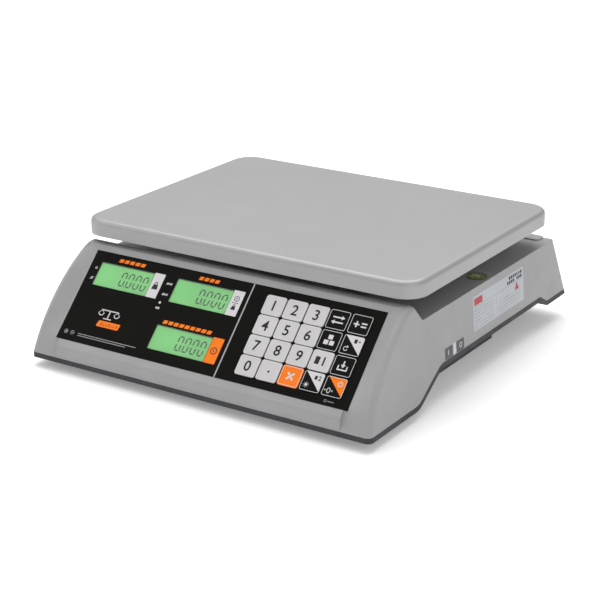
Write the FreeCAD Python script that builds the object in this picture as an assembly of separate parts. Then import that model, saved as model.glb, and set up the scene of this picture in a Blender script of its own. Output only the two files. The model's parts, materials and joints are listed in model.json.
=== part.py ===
import FreeCAD, Part
import math
import os

# Retail price scale: a wedge-shaped console in front of a low deck, with a
# weighing pan carried above the deck by a load cell.  Millimetres, +Z up.
# The origin is on the ground under the middle of the body; -Y is the seller's side.
# "Depth" d below is the distance back from the body's front edge.

Vec = FreeCAD.Vector

# ---- body, overall ----
BODY_WIDTH = 330.0
BODY_DEPTH = 356.8
WALL = 2.5
SIDE_DRAFT = 5.0          # degrees the side walls lean in
SEAM_BAND = 4.5           # height of the lower housing that shows

# ---- underside line, seen from the side ----
FRONT_UNDERSIDE = 8.0
ARCH_HEIGHT = 29.0
REAR_UNDERSIDE = 21.5
ARCH_START = 76.0         # depth where the arch leaves the front foot
ARCH_FRONT_RUN = 38.0     # length of its sloping front
REAR_FOOT_RUN = 57.8      # from the arch's end to the body's back
ARCH_REAR_RUN = 13.0
ARCH_ROUND = 22.0
ARCH_REAR_ROUND = 9.0

# ---- upper outline, seen from the side ----
CHEEK_TOP_DEPTH = 65.5
CHEEK_TOP_HEIGHT = 90.2
CHEEK_BULGE = 8.9
CONSOLE_HEIGHT = 92.6
CREST_BACK_DEPTH = 77.0
CREST_ROUND = 2.5
DECK_FRONT_DEPTH = 90.0
DECK_HEIGHT = 77.5
DECK_FRONT_ROUND = 3.0
REAR_WALL_RUN = 22.8      # how far the rear wall leans back below the deck
CHEEK_ROUND = 5.0         # soft edge between cheek and side wall
REAR_ROUND = 8.0

# ---- front panel ----
PANEL_WIDTH = 283.0
PANEL_HEIGHT = 84.2
PANEL_TILT = 45.4
PANEL_EDGE_DEPTH = 6.0    # lower edge of the panel
PANEL_EDGE_HEIGHT = 27.9
PANEL_MARGIN = 2.0        # flat plateau beside the panel
BANK_STATIONS = 12        # sections that shape the bank between plateau and cheek
BANK_FOOT = -14.0         # how far below the panel's lower edge the banks run
FRONT_STRIP_MARGIN = 3.5  # strip narrower than the panel on each side
FRONT_STRIP_DEPTH = 0.6
FRONT_STRIP_ROUND = 4.0
OVERLAY_THICKNESS = 0.8
OVERLAY_SINK = 0.6
OVERLAY_GAP = 0.15

# ---- displays ----
LCD_VIEW_WIDTH = 55.6
LCD_VIEW_HEIGHT = 21.8
LCD_BEZEL = 3.0
LCD_THICKNESS = 5.3
LCD_GAP = 0.1             # film to display
LCD_SIDE_MARGIN = 10.0    # first display from the panel's side
LCD_SPACE = 23.9          # between displays, for the unit's tag
LCD_UPS = {"lcd_mass": 52.8, "lcd_price": 53.0, "lcd_total": 10.0}
BOARD_THICKNESS = 1.6

# ---- keypad ----
KEY_COLUMNS = 5
KEY_ROWS = 4
KEY_WIDTH = 18.7
KEY_HEIGHT = 17.2
KEY_SPACE_X = 1.1
KEY_SPACE_Y = 0.65
KEY_CORNER = 2.2
KEY_PROUD = 0.7           # above the film
KEY_CAP = 1.6
KEY_EDGE_ROUND = 0.4
KEY_GAP = 0.12
KEY_TRAVEL = 0.4
KEY_STOP_GAP = 0.1        # left above the switch at full travel
KEY_POST_RADIUS = 3.0
KEY_SIDE_MARGIN = 8.55    # last column from the panel's side
KEY_TOP_MARGIN = 6.5      # first row from the panel's top
KEY_NAMES = (
    ("key_1", "key_2", "key_3", "key_change", "key_sum"),
    ("key_4", "key_5", "key_6", "key_pieces", "key_reset"),
    ("key_7", "key_8", "key_9", "key_preset_one", "key_tare"),
    ("key_0", "key_point", "key_clear", "key_lamp", "key_zero"),
)

# ---- customer display on the back ----
REAR_PANEL_WIDTH = 262.0
REAR_PANEL_HEIGHT = 38.0
REAR_PANEL_DROP = 9.0     # below the rear wall's top edge, along the wall
REAR_LCD_SPACE = 26.4     # between displays
REAR_LCD_COUNT = 3
REAR_CAP_RISE = 1.4       # raised cap over the customer display
REAR_CAP_MARGIN = 15.0    # cap narrower than the body on each side
REAR_CAP_DEPTH = 17.0

# ---- weighing pan and carrier ----
PAN_SIDE_INSET = 2.5      # pan narrower than the body on each side
PAN_DEPTH = 247.0
PAN_FRONT_DEPTH = 69.5
PAN_CLEARANCE = 5.9       # pan's lower edge above the console
PAN_SKIRT = 14.0
PAN_SHEET = 1.0
PAN_CORNER = 20.0
PAN_EDGE_ROUND = 4.5
PAN_HEM = 3.0
PAD_THICKNESS = 3.0
PAD_RADIUS = 8.0
PAD_INSET_X = 37.5        # pad's middle from the pan's side
PAD_INSET_Y = 38.5
CARRIER_THICKNESS = 8.0
CARRIER_ARM = 18.0
CARRIER_HUB_LENGTH = 150.0
CARRIER_HUB_WIDTH = 56.0
CARRIER_SEAT = 3.0        # seat wider than the pad

# ---- load cell ----
CELL_LENGTH = 130.0
CELL_WIDTH = 30.0
CELL_HEIGHT = 22.0
CELL_HOLE_RADIUS = 7.5
CELL_HOLE_OFFSET = 14.0
CELL_SLOT_HALF = 2.0
CELL_BOLT_RADIUS = 3.0
CELL_BOLT_PITCH = 15.0
CELL_END = 30.0           # length of the spacer on each end
LOWER_SPACER = 24.0
FRAME_THICKNESS = 3.0
FRAME_MARGIN = 23.0       # frame longer than the cell at each end
FRAME_WIDTH = 64.0
DECK_HOLE_MARGIN = 8.0
DECK_RIM = 2.5
DECK_RIM_RISE = 3.0

# ---- bubble level ----
LEVEL_SIDE_INSET = 17.5
LEVEL_DEPTH = 203.0
LEVEL_RADIUS = 8.5
LEVEL_FLANGE_WALL = 1.4
LEVEL_DEEP = 8.0
LEVEL_PROUD = 0.8
LEVEL_GAP = 0.1

# ---- belly and mains pod of the lower housing ----
BELLY_SIDE_INSET = 46.0
BELLY_FRONT = 14.0
BELLY_BACK_INSET = 16.8
POD_SIDE_INSET = 24.0
POD_FRONT = 122.0
POD_LENGTH = 128.0
POD_UNDERSIDE = 6.6
POD_TOP = 40.0

# ---- mains inlet (IEC 60320 C14) ----
INLET_INSET = 37.0        # middle from the pod's back
INLET_FLOOR_GAP = 0.1     # flange to the pod's floor
INLET_FLANGE_WIDTH = 30.6
INLET_FLANGE_HEIGHT = 22.6
INLET_FLANGE = 2.0
INLET_BODY_WIDTH = 27.2
INLET_BODY_HEIGHT = 19.6
INLET_BODY_LENGTH = 20.0
INLET_MOUTH_WIDTH = 24.8
INLET_MOUTH_HEIGHT = 16.6
INLET_MOUTH_DEPTH = 16.0
INLET_BEVEL = 5.0
INLET_BLADE_PITCH = 7.0
INLET_BLADE_WIDTH = 2.0
INLET_BLADE_HEIGHT = 4.0
INLET_BLADE_LENGTH = 14.0
INLET_BLADE_OFFSET = 2.0

# ---- rocker switch ----
SWITCH_INSET = 17.0       # middle from the pod's front
SWITCH_HEIGHT = 20.0
SWITCH_WIDTH = 19.0
SWITCH_TALL = 13.0
SWITCH_FLANGE = 1.6
SWITCH_RIM = 1.5
SWITCH_LENGTH = 14.0
ROCKER_WIDTH = 15.0
ROCKER_TALL = 9.4
ROCKER_TILT = 7.0
ROCKER_PROUD = 2.2
ROCKER_DEEP = 5.0
ROCKER_GAP = 0.5
ROCKER_PIVOT = 3.0        # pivot behind the flange's face

# ---- battery ----
BATTERY_LENGTH = 101.0
BATTERY_WIDTH = 70.0
BATTERY_HEIGHT = 47.0
BATTERY_SIDE_GAP = 4.0    # to the belly's wall
BATTERY_FRONT_GAP = 2.0   # to the base frame
TERMINAL_WIDTH = 4.0
TERMINAL_THICKNESS = 2.0
TERMINAL_HEIGHT = 6.0
BATTERY_FLOOR_GAP = 1.0
DOOR_MARGIN = 3.0
DOOR_GAP = 0.4
DOOR_LIP = 3.0

# ---- main board ----
MAIN_BOARD_WIDTH = 96.0
MAIN_BOARD_LENGTH = 68.0
MAIN_BOARD_HEIGHT = 20.0
MAIN_BOARD_SIDE_GAP = 8.5     # to the belly's wall
MAIN_BOARD_FRONT_GAP = 5.0    # to the base frame
MAIN_BOARD_LEG_RADIUS = 3.0
MAIN_BOARD_LEG_INSET = 5.0
BOARD_PARTS = {               # x, depth, width, length and height, from the board's front left corner
    "transformer": (52.0, 8.0, 38.0, 32.0, 28.0),
    "regulator": (8.0, 10.0, 20.0, 3.0, 18.0),
    "processor": (34.0, 38.0, 14.0, 14.0, 2.0),
}
CAPACITOR_PLACE = (18.0, 50.0)
CAPACITOR_RADIUS = 6.5
CAPACITOR_HEIGHT = 20.0

# ---- feet ----
FOOT_SIDE_INSET = 15.0    # from the belly's side
FOOT_FRONT_DEPTH = 34.0
FOOT_BACK_INSET = 34.8
STUD_RADIUS = 4.0
STUD_LENGTH = 24.0
STUD_FIT = 0.05
PAD_FOOT_RADIUS = 12.5
PAD_FOOT_GAP = 0.4
PAD_FOOT_FLOOR = 3.0
PAD_FOOT_CHAMFER = 1.5
FOOT_BOSS_WALL = 5.0
FOOT_BOSS_TOP = 30.0

# ---- housing screws ----
SCREW_RADIUS = 2.0
SCREW_HEAD_RADIUS = 3.8
SCREW_HEAD = 2.6
SCREW_GRIP = 12.0
SCREW_FIT = 0.3
BOSS_RADIUS = 4.2
SCREW_FRONT_DEPTH = 40.0
SCREW_FRONT_SIDE = 15.0   # from the body's side
SCREW_SIDE = 25.0
SCREW_MIDDLE_BACK = 81.8  # from the body's back
SCREW_BACK = 21.8

# ---- derived sizes ----
FRONT_Y = -BODY_DEPTH / 2
REAR_TOP_DEPTH = BODY_DEPTH - REAR_WALL_RUN
REAR_TILT = math.degrees(math.atan2(DECK_HEIGHT - REAR_UNDERSIDE, REAR_WALL_RUN))
ARCH_END = BODY_DEPTH - REAR_FOOT_RUN
PAN_WIDTH = BODY_WIDTH - 2 * PAN_SIDE_INSET
PAN_TOP = CONSOLE_HEIGHT + PAN_CLEARANCE + PAN_SKIRT
PAN_CENTRE = PAN_FRONT_DEPTH + PAN_DEPTH / 2
CARRIER_TOP = PAN_TOP - PAN_SHEET - PAD_THICKNESS
CARRIER_UNDERSIDE = CARRIER_TOP - CARRIER_THICKNESS
BELLY_FLOOR = FRONT_UNDERSIDE + WALL
CELL_UNDERSIDE = BELLY_FLOOR + FRAME_THICKNESS + LOWER_SPACER
CELL_TOP = CELL_UNDERSIDE + CELL_HEIGHT
CELL_END_X = (CELL_LENGTH - CELL_END) / 2
LCD_BOARD_DEPTH = OVERLAY_SINK + LCD_GAP + LCD_THICKNESS
KEY_FLOOR = WALL + LCD_GAP
KEY_PITCH_X = KEY_WIDTH + KEY_SPACE_X
KEY_PITCH_Y = KEY_HEIGHT + KEY_SPACE_Y
FIRST_KEY_X = PANEL_WIDTH / 2 - KEY_SIDE_MARGIN - KEY_WIDTH / 2 - (KEY_COLUMNS - 1) * KEY_PITCH_X
FIRST_KEY_UP = PANEL_HEIGHT - KEY_TOP_MARGIN - KEY_HEIGHT / 2
LCD_FIRST_X = -PANEL_WIDTH / 2 + LCD_SIDE_MARGIN
LCD_SECOND_X = LCD_FIRST_X + LCD_VIEW_WIDTH + LCD_SPACE
LCD_PLACES = {
    "lcd_mass": (LCD_FIRST_X, LCD_UPS["lcd_mass"]),
    "lcd_price": (LCD_SECOND_X, LCD_UPS["lcd_price"]),
    "lcd_total": (LCD_SECOND_X, LCD_UPS["lcd_total"]),
}
REAR_LCD_PITCH = LCD_VIEW_WIDTH + REAR_LCD_SPACE
PAD_X = PAN_WIDTH / 2 - PAD_INSET_X
PAD_Y = PAN_DEPTH / 2 - PAD_INSET_Y
FRAME_LENGTH = CELL_LENGTH + 2 * FRAME_MARGIN
FRAME_BACK = PAN_CENTRE + FRAME_WIDTH / 2
LEVEL_X = BODY_WIDTH / 2 - LEVEL_SIDE_INSET
BELLY_HALF = BODY_WIDTH / 2 - BELLY_SIDE_INSET
BELLY_BACK = BODY_DEPTH - BELLY_BACK_INSET
POD_FACE = BODY_WIDTH / 2 - POD_SIDE_INSET
POD_BACK = POD_FRONT + POD_LENGTH
INLET_DEPTH = POD_BACK - INLET_INSET
INLET_HEIGHT = POD_UNDERSIDE + WALL + INLET_FLOOR_GAP + INLET_FLANGE_HEIGHT / 2
SWITCH_DEPTH = POD_FRONT + SWITCH_INSET
BATTERY_X = -BELLY_HALF + WALL + BATTERY_SIDE_GAP + BATTERY_LENGTH / 2
BATTERY_DEPTH = FRAME_BACK + BATTERY_FRONT_GAP + BATTERY_WIDTH / 2
MAIN_BOARD_LEFT = BELLY_HALF - WALL - MAIN_BOARD_SIDE_GAP - MAIN_BOARD_WIDTH
MAIN_BOARD_FRONT = FRAME_BACK + MAIN_BOARD_FRONT_GAP
FOOT_X = BELLY_HALF - FOOT_SIDE_INSET
FOOT_DEPTHS = {"front": FOOT_FRONT_DEPTH, "rear": BODY_DEPTH - FOOT_BACK_INSET}
SCREW_PLACES = (
    (BODY_WIDTH / 2 - SCREW_FRONT_SIDE, SCREW_FRONT_DEPTH),
    (BODY_WIDTH / 2 - SCREW_SIDE, BODY_DEPTH - SCREW_MIDDLE_BACK),
    (BODY_WIDTH / 2 - SCREW_SIDE, BODY_DEPTH - SCREW_BACK),
)
HIGH = CONSOLE_HEIGHT + 60.0
SLACK = 1.0               # how far a cutting tool overshoots


def back(depth):
    """Y of a place that lies this far behind the body's front edge."""
    return FRONT_Y + depth


def box(x0, x1, y0, y1, z0, z1):
    return Part.makeBox(x1 - x0, y1 - y0, z1 - z0, Vec(x0, y0, z0))


def upright(radius, x, y, z0, z1):
    return Part.makeCylinder(radius, z1 - z0, Vec(x, y, z0))


def rounded_box(x0, x1, y0, y1, z0, z1, radius):
    """A box with its four upright edges rounded."""
    body = box(x0, x1, y0, y1, z0, z1)
    upright_edges = [e for e in body.Edges if abs(e.tangentAt(e.FirstParameter).z) > 0.5]
    return body.makeFillet(radius, upright_edges)


def union(shapes):
    whole = shapes[0]
    for shape in shapes[1:]:
        whole = whole.fuse(shape)
    return whole.removeSplitter()


def path_edges(points, rounds):
    """Straight runs through (depth, height) points, with an arc at each inner point."""
    verts = [Vec(0, back(d), z) for d, z in points]
    edges = []
    start = verts[0]
    for before, corner, after, radius in zip(verts, verts[1:], verts[2:], rounds):
        to_before = (before - corner).normalize()
        to_after = (after - corner).normalize()
        half = math.acos(max(-1.0, min(1.0, to_before.dot(to_after)))) / 2
        reach = radius / math.tan(half)
        bisector = (to_before + to_after).normalize()
        enter = corner + to_before * reach
        leave = corner + to_after * reach
        middle = corner + bisector * (radius / math.sin(half) - radius)
        edges.append(Part.LineSegment(start, enter).toShape())
        edges.append(Part.Arc(enter, middle, leave).toShape())
        start = leave
    edges.append(Part.LineSegment(start, verts[-1]).toShape())
    return edges


def across(edges, half_width):
    """Extrude a closed outline in the YZ plane evenly to both sides."""
    face = Part.Face(Part.Wire(edges))
    face.translate(Vec(-half_width, 0, 0))
    return face.extrude(Vec(2 * half_width, 0, 0))


def seat(shape, depth, height, tilt, turn=0.0):
    """Move a shape from flat local axes (x across, y up the slope, z out) onto a sloping face."""
    turned = FreeCAD.Rotation(Vec(0, 0, 1), turn) * FreeCAD.Rotation(Vec(1, 0, 0), tilt)
    placement = FreeCAD.Placement(Vec(0, back(depth), height), turned)
    moved = shape.copy()
    moved.Placement = placement * moved.Placement
    return moved


def on_panel(shape):
    """Local origin: middle of the front panel's lower edge, in the plateau."""
    return seat(shape, PANEL_EDGE_DEPTH, PANEL_EDGE_HEIGHT, PANEL_TILT)


def on_rear(shape):
    """Local origin: middle of the rear wall's top edge; y runs up the wall, z out of it."""
    return seat(shape, REAR_TOP_DEPTH, DECK_HEIGHT, REAR_TILT, 180.0)


# ---------------------------------------------------------------- outer form

def underside_line(lift):
    """Side view of the underside, raised by lift and drawn past both ends."""
    points = [
        (-SLACK, FRONT_UNDERSIDE),
        (ARCH_START, FRONT_UNDERSIDE),
        (ARCH_START + ARCH_FRONT_RUN, ARCH_HEIGHT),
        (ARCH_END, ARCH_HEIGHT),
        (ARCH_END + ARCH_REAR_RUN, REAR_UNDERSIDE),
        (BODY_DEPTH + SLACK, REAR_UNDERSIDE),
    ]
    rounds = (ARCH_ROUND, ARCH_ROUND, ARCH_REAR_ROUND, ARCH_REAR_ROUND)
    return path_edges([(d, z + lift) for d, z in points], rounds)


def above_underside(lift):
    """Everything above the underside line raised by lift."""
    edges = underside_line(lift)
    low_back = edges[-1].Vertexes[-1].Point
    low_front = edges[0].Vertexes[0].Point
    high_back = Vec(0, low_back.y, HIGH)
    high_front = Vec(0, low_front.y, HIGH)
    edges.append(Part.LineSegment(low_back, high_back).toShape())
    edges.append(Part.LineSegment(high_back, high_front).toShape())
    edges.append(Part.LineSegment(high_front, low_front).toShape())
    return across(edges, BODY_WIDTH / 2 + SLACK)


def side_outline():
    """Closed side view: front band, cheek arc, crest, notch, deck and rear wall."""
    start_z = FRONT_UNDERSIDE + SEAM_BAND
    rise = CHEEK_TOP_HEIGHT - start_z
    chord = math.hypot(CHEEK_TOP_DEPTH, rise)
    chord_angle = math.atan2(rise, CHEEK_TOP_DEPTH)
    half_turn = 2 * math.atan(2 * CHEEK_BULGE / chord)
    end_angle = chord_angle - half_turn
    arc_start = Vec(0, back(0), start_z)
    arc_end = Vec(0, back(CHEEK_TOP_DEPTH), CHEEK_TOP_HEIGHT)
    outward = Vec(0, -math.sin(chord_angle), math.cos(chord_angle))
    arc_middle = (arc_start + arc_end) * 0.5 + outward * CHEEK_BULGE
    crest_radius = (CONSOLE_HEIGHT - CHEEK_TOP_HEIGHT) / (1 - math.cos(end_angle))
    crest_centre = Vec(0, arc_end.y + crest_radius * math.sin(end_angle), CONSOLE_HEIGHT - crest_radius)
    crest_end = crest_centre + Vec(0, 0, crest_radius)
    half = end_angle / 2
    crest_middle = crest_centre + Vec(0, -math.sin(half), math.cos(half)) * crest_radius
    foot = Vec(0, back(0), 0)
    corners = [
        crest_end,
        Vec(0, back(CREST_BACK_DEPTH), CONSOLE_HEIGHT),
        Vec(0, back(DECK_FRONT_DEPTH), DECK_HEIGHT),
        Vec(0, back(REAR_TOP_DEPTH), DECK_HEIGHT),
        Vec(0, back(BODY_DEPTH), REAR_UNDERSIDE),
        Vec(0, back(BODY_DEPTH), 0),
        foot,
        arc_start,
    ]
    return [
        Part.Arc(arc_start, arc_middle, arc_end).toShape(),
        Part.Arc(arc_end, crest_middle, crest_end).toShape(),
        *(Part.LineSegment(a, b).toShape() for a, b in zip(corners, corners[1:])),
    ]


def half_width(height):
    """Half the body's outer width at a height."""
    return BODY_WIDTH / 2 - (height - FRONT_UNDERSIDE) * math.tan(math.radians(SIDE_DRAFT))


def side_wedge(inset):
    """The space between the two leaning side walls."""
    corners = []
    for sign, height in ((-1, 0.0), (1, 0.0), (1, HIGH), (-1, HIGH)):
        reach = half_width(height) - inset / math.cos(math.radians(SIDE_DRAFT))
        corners.append(Vec(sign * reach, FRONT_Y - SLACK, height))
    face = Part.Face(Part.makePolygon(corners + corners[:1]))
    return face.extrude(Vec(0, BODY_DEPTH + 2 * SLACK, 0))


def middle_of(edge):
    return edge.valueAt((edge.FirstParameter + edge.LastParameter) / 2)


def side_edges(body, depth_low, depth_high, low, high):
    """Edges on the side walls whose middles lie in a window of depth and height."""
    found = []
    for edge in body.Edges:
        middle = middle_of(edge)
        depth = middle.y - FRONT_Y
        on_side = abs(abs(middle.x) - half_width(middle.z)) < SLACK / 20
        if on_side and depth_low < depth < depth_high and low < middle.z < high:
            found.append(edge)
    return found


def cross_edges(body, depth, height):
    """Edges that run across the body at a depth and height."""
    corner = Vec(0, back(depth), height)
    return [e for e in body.Edges if middle_of(e).distanceToPoint(corner) < SLACK]


def soften(body):
    """Round the outer edges; the deck's long side edges stay crisp."""
    cheeks = side_edges(body, -SLACK, CREST_BACK_DEPTH, FRONT_UNDERSIDE / 2, HIGH)
    body = body.makeFillet(CHEEK_ROUND, cheeks)
    rear = side_edges(body, REAR_TOP_DEPTH, HIGH + BODY_DEPTH, FRONT_UNDERSIDE / 2, DECK_HEIGHT)
    body = body.makeFillet(REAR_ROUND, rear + cross_edges(body, REAR_TOP_DEPTH, DECK_HEIGHT))
    body = body.makeFillet(CREST_ROUND, cross_edges(body, CREST_BACK_DEPTH, CONSOLE_HEIGHT))
    return body.makeFillet(DECK_FRONT_ROUND, cross_edges(body, DECK_FRONT_DEPTH, DECK_HEIGHT))


def hull(inset=0.0):
    """The body's outer form, or the same form inset for the inside."""
    edges = side_outline()
    if inset:
        outline = Part.Face(Part.Wire(edges)).makeOffset2D(-inset)
        edges = outline.Edges
    return across(edges, BODY_WIDTH / 2 + SLACK).common(side_wedge(inset))


def panel_point(up, out):
    """A place in the YZ plane, given along and out of the panel's plane."""
    return on_panel(Part.Vertex(0, up, out)).Point


def cheek_rise(up, outline):
    """How far the side view stands out of the panel's plane at a place up the panel."""
    probe = Part.makeLine(panel_point(up, -WALL), panel_point(up, PANEL_HEIGHT / 2))
    inside = probe.common(outline)
    return inside.Length - WALL


def pocket(offset):
    """The space over the plateau and its banks, which rise to the ridge of each cheek."""
    outline = Part.Face(Part.Wire(side_outline()))
    foot = PANEL_WIDTH / 2 + PANEL_MARGIN + offset
    low = BANK_FOOT
    crest = (CONSOLE_HEIGHT - PANEL_EDGE_HEIGHT) / math.sin(math.radians(PANEL_TILT))
    sections = []
    for index in range(BANK_STATIONS):
        up = low + (crest - low) * index / (BANK_STATIONS - 1)
        rise = cheek_rise(up, outline)
        ridge = half_width(panel_point(up, rise).z) - CHEEK_ROUND + offset / 2
        sections.append((up, foot, ridge, rise - offset))
    sections.append((crest + CONSOLE_HEIGHT / 2, *sections[-1][1:]))
    wires = []
    for up, foot, ridge, rise in sections:
        corners = [
            Vec(-foot, up, -offset),
            Vec(foot, up, -offset),
            Vec(ridge, up, rise),
            Vec(ridge, up, CONSOLE_HEIGHT / 2),
            Vec(-ridge, up, CONSOLE_HEIGHT / 2),
            Vec(-ridge, up, rise),
        ]
        wires.append(Part.makePolygon(corners + corners[:1]))
    return on_panel(Part.makeLoft(wires, True, True))


def plateau_height(depth):
    """Height of the panel's plane at a depth."""
    return PANEL_EDGE_HEIGHT + (depth - PANEL_EDGE_DEPTH) * math.tan(math.radians(PANEL_TILT))


def front_strip():
    """The upright strip below the panel, between the cheeks."""
    deep = PANEL_EDGE_DEPTH + WALL
    seam = FRONT_UNDERSIDE + SEAM_BAND
    outline = path_edges(
        [
            (FRONT_STRIP_DEPTH, seam),
            (FRONT_STRIP_DEPTH, plateau_height(FRONT_STRIP_DEPTH)),
            (deep, plateau_height(deep)),
        ],
        (FRONT_STRIP_ROUND,),
    )
    top = Vec(0, back(deep), plateau_height(deep))
    low = Vec(0, back(deep), seam)
    start = Vec(0, back(FRONT_STRIP_DEPTH), seam)
    outline.append(Part.LineSegment(top, low).toShape())
    outline.append(Part.LineSegment(low, start).toShape())
    return across(outline, PANEL_WIDTH / 2 - FRONT_STRIP_MARGIN)


# ---------------------------------------------------------------- front panel

def lcd_box(place, margin, z0, z1):
    """A block over one display's view, in panel axes."""
    x, up = place
    return box(
        x - margin, x + LCD_VIEW_WIDTH + margin, up - margin, up + LCD_VIEW_HEIGHT + margin, z0, z1
    )


def key_centre(column, row):
    return FIRST_KEY_X + column * KEY_PITCH_X, FIRST_KEY_UP - row * KEY_PITCH_Y


def key_block(column, row, margin, z0, z1):
    """A rounded block over one key, in panel axes."""
    x, up = key_centre(column, row)
    half_x = KEY_WIDTH / 2 + margin
    half_y = KEY_HEIGHT / 2 + margin
    return rounded_box(x - half_x, x + half_x, up - half_y, up + half_y, z0, z1, KEY_CORNER + margin)


def key_field(margin, z0, z1):
    """One block over all keys, in panel axes."""
    left, top = key_centre(0, 0)
    right, low = key_centre(KEY_COLUMNS - 1, KEY_ROWS - 1)
    return box(
        left - KEY_WIDTH / 2 - margin,
        right + KEY_WIDTH / 2 + margin,
        low - KEY_HEIGHT / 2 - margin,
        top + KEY_HEIGHT / 2 + margin,
        z0,
        z1,
    )


def panel_openings():
    """Cuts in the console: the film's recess, the display windows and the key window."""
    half = PANEL_WIDTH / 2 + OVERLAY_GAP
    recess = box(-half, half, -OVERLAY_GAP, PANEL_HEIGHT + OVERLAY_GAP, -OVERLAY_SINK, SLACK)
    cuts = [recess, key_field(KEY_GAP + SLACK / 2, -2 * WALL, SLACK)]
    for place in LCD_PLACES.values():
        cuts.append(lcd_box(place, LCD_BEZEL + LCD_GAP, -2 * WALL, SLACK))
    return [on_panel(cut) for cut in cuts]


def make_front_overlay():
    top = OVERLAY_THICKNESS - OVERLAY_SINK
    half = PANEL_WIDTH / 2
    film = box(-half, half, 0, PANEL_HEIGHT, -OVERLAY_SINK, top)
    for place in LCD_PLACES.values():
        film = film.cut(lcd_box(place, 0, -SLACK, SLACK))
    for row in range(KEY_ROWS):
        for column in range(KEY_COLUMNS):
            film = film.cut(key_block(column, row, KEY_GAP, -SLACK, SLACK))
    return on_panel(film)


def make_front_windows():
    top = OVERLAY_THICKNESS - OVERLAY_SINK
    panes = [lcd_box(place, 0, -OVERLAY_SINK, top) for place in LCD_PLACES.values()]
    return on_panel(Part.makeCompound(panes))


def make_lcd(place):
    top = -OVERLAY_SINK - LCD_GAP
    return on_panel(lcd_box(place, LCD_BEZEL, top - LCD_THICKNESS, top))


def make_display_board():
    places = list(LCD_PLACES.values())
    left = min(x for x, up in places) - LCD_BEZEL
    right = max(x for x, up in places) + LCD_VIEW_WIDTH + LCD_BEZEL
    low = min(up for x, up in places) - LCD_BEZEL
    top = max(up for x, up in places) + LCD_VIEW_HEIGHT + LCD_BEZEL
    return on_panel(box(left, right, low, top, -LCD_BOARD_DEPTH - BOARD_THICKNESS, -LCD_BOARD_DEPTH))


def make_keypad_board():
    return on_panel(key_field(4 * SLACK, -KEY_FLOOR - BOARD_THICKNESS, -KEY_FLOOR))


def make_key(column, row):
    top = OVERLAY_THICKNESS - OVERLAY_SINK + KEY_PROUD
    cap = key_block(column, row, 0, top - KEY_CAP, top)
    rim = [e for e in cap.Edges if e.BoundBox.ZMin > top - SLACK / 10]
    cap = cap.makeFillet(KEY_EDGE_ROUND, rim)
    x, up = key_centre(column, row)
    post = upright(KEY_POST_RADIUS, x, up, -KEY_FLOOR + KEY_TRAVEL + KEY_STOP_GAP, top - KEY_CAP)
    return on_panel(cap.fuse(post).removeSplitter())


# ---------------------------------------------------------------- rear panel

def rear_lcd_box(index, margin, z0, z1):
    """A block over one customer display, in rear-wall axes."""
    x = (index - 1) * REAR_LCD_PITCH
    up = -REAR_PANEL_DROP - REAR_PANEL_HEIGHT / 2
    half_x = LCD_VIEW_WIDTH / 2 + margin
    half_y = LCD_VIEW_HEIGHT / 2 + margin
    return box(x - half_x, x + half_x, up - half_y, up + half_y, z0, z1)


def rear_panel_box(margin, z0, z1):
    half = REAR_PANEL_WIDTH / 2 + margin
    top = -REAR_PANEL_DROP + margin
    return box(-half, half, top - REAR_PANEL_HEIGHT - 2 * margin, top, z0, z1)


def rear_openings():
    cuts = [rear_panel_box(OVERLAY_GAP, -OVERLAY_SINK, SLACK)]
    for index in range(REAR_LCD_COUNT):
        cuts.append(rear_lcd_box(index, LCD_BEZEL + LCD_GAP, -2 * WALL, SLACK))
    return [on_rear(cut) for cut in cuts]


def make_rear_overlay():
    top = OVERLAY_THICKNESS - OVERLAY_SINK
    film = rear_panel_box(0, -OVERLAY_SINK, top)
    for index in range(REAR_LCD_COUNT):
        film = film.cut(rear_lcd_box(index, 0, -SLACK, SLACK))
    return on_rear(film)


def make_rear_windows():
    top = OVERLAY_THICKNESS - OVERLAY_SINK
    return on_rear(Part.makeCompound([rear_lcd_box(i, 0, -OVERLAY_SINK, top) for i in range(REAR_LCD_COUNT)]))


def make_rear_displays():
    top = -OVERLAY_SINK - LCD_GAP
    shapes = [rear_lcd_box(i, LCD_BEZEL, top - LCD_THICKNESS, top) for i in range(REAR_LCD_COUNT)]
    return on_rear(Part.makeCompound(shapes))


def make_rear_board():
    half = REAR_LCD_PITCH + LCD_VIEW_WIDTH / 2 + LCD_BEZEL
    middle = -REAR_PANEL_DROP - REAR_PANEL_HEIGHT / 2
    reach = LCD_VIEW_HEIGHT / 2 + LCD_BEZEL
    return on_rear(
        box(
            -half,
            half,
            middle - reach,
            middle + reach,
            -LCD_BOARD_DEPTH - BOARD_THICKNESS,
            -LCD_BOARD_DEPTH,
        )
    )


# ---------------------------------------------------------------- housings

def screw_places():
    return [(sign * x, back(depth)) for x, depth in SCREW_PLACES for sign in (-1, 1)]


def floor_under(x, y):
    """Height of the lower housing's underside at a screw."""
    depth = y - FRONT_Y
    if depth < ARCH_START or (abs(x) < BELLY_HALF and depth < BELLY_BACK):
        return FRONT_UNDERSIDE
    return REAR_UNDERSIDE if depth > ARCH_END + ARCH_REAR_RUN else ARCH_HEIGHT


def deck_hole(margin):
    """Opening in the deck around the upper spacer."""
    reach = CELL_END / 2 + margin
    wide = CELL_WIDTH / 2 + margin
    middle = back(PAN_CENTRE)
    return (CELL_END_X - reach, CELL_END_X + reach, middle - wide, middle + wide)


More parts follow.
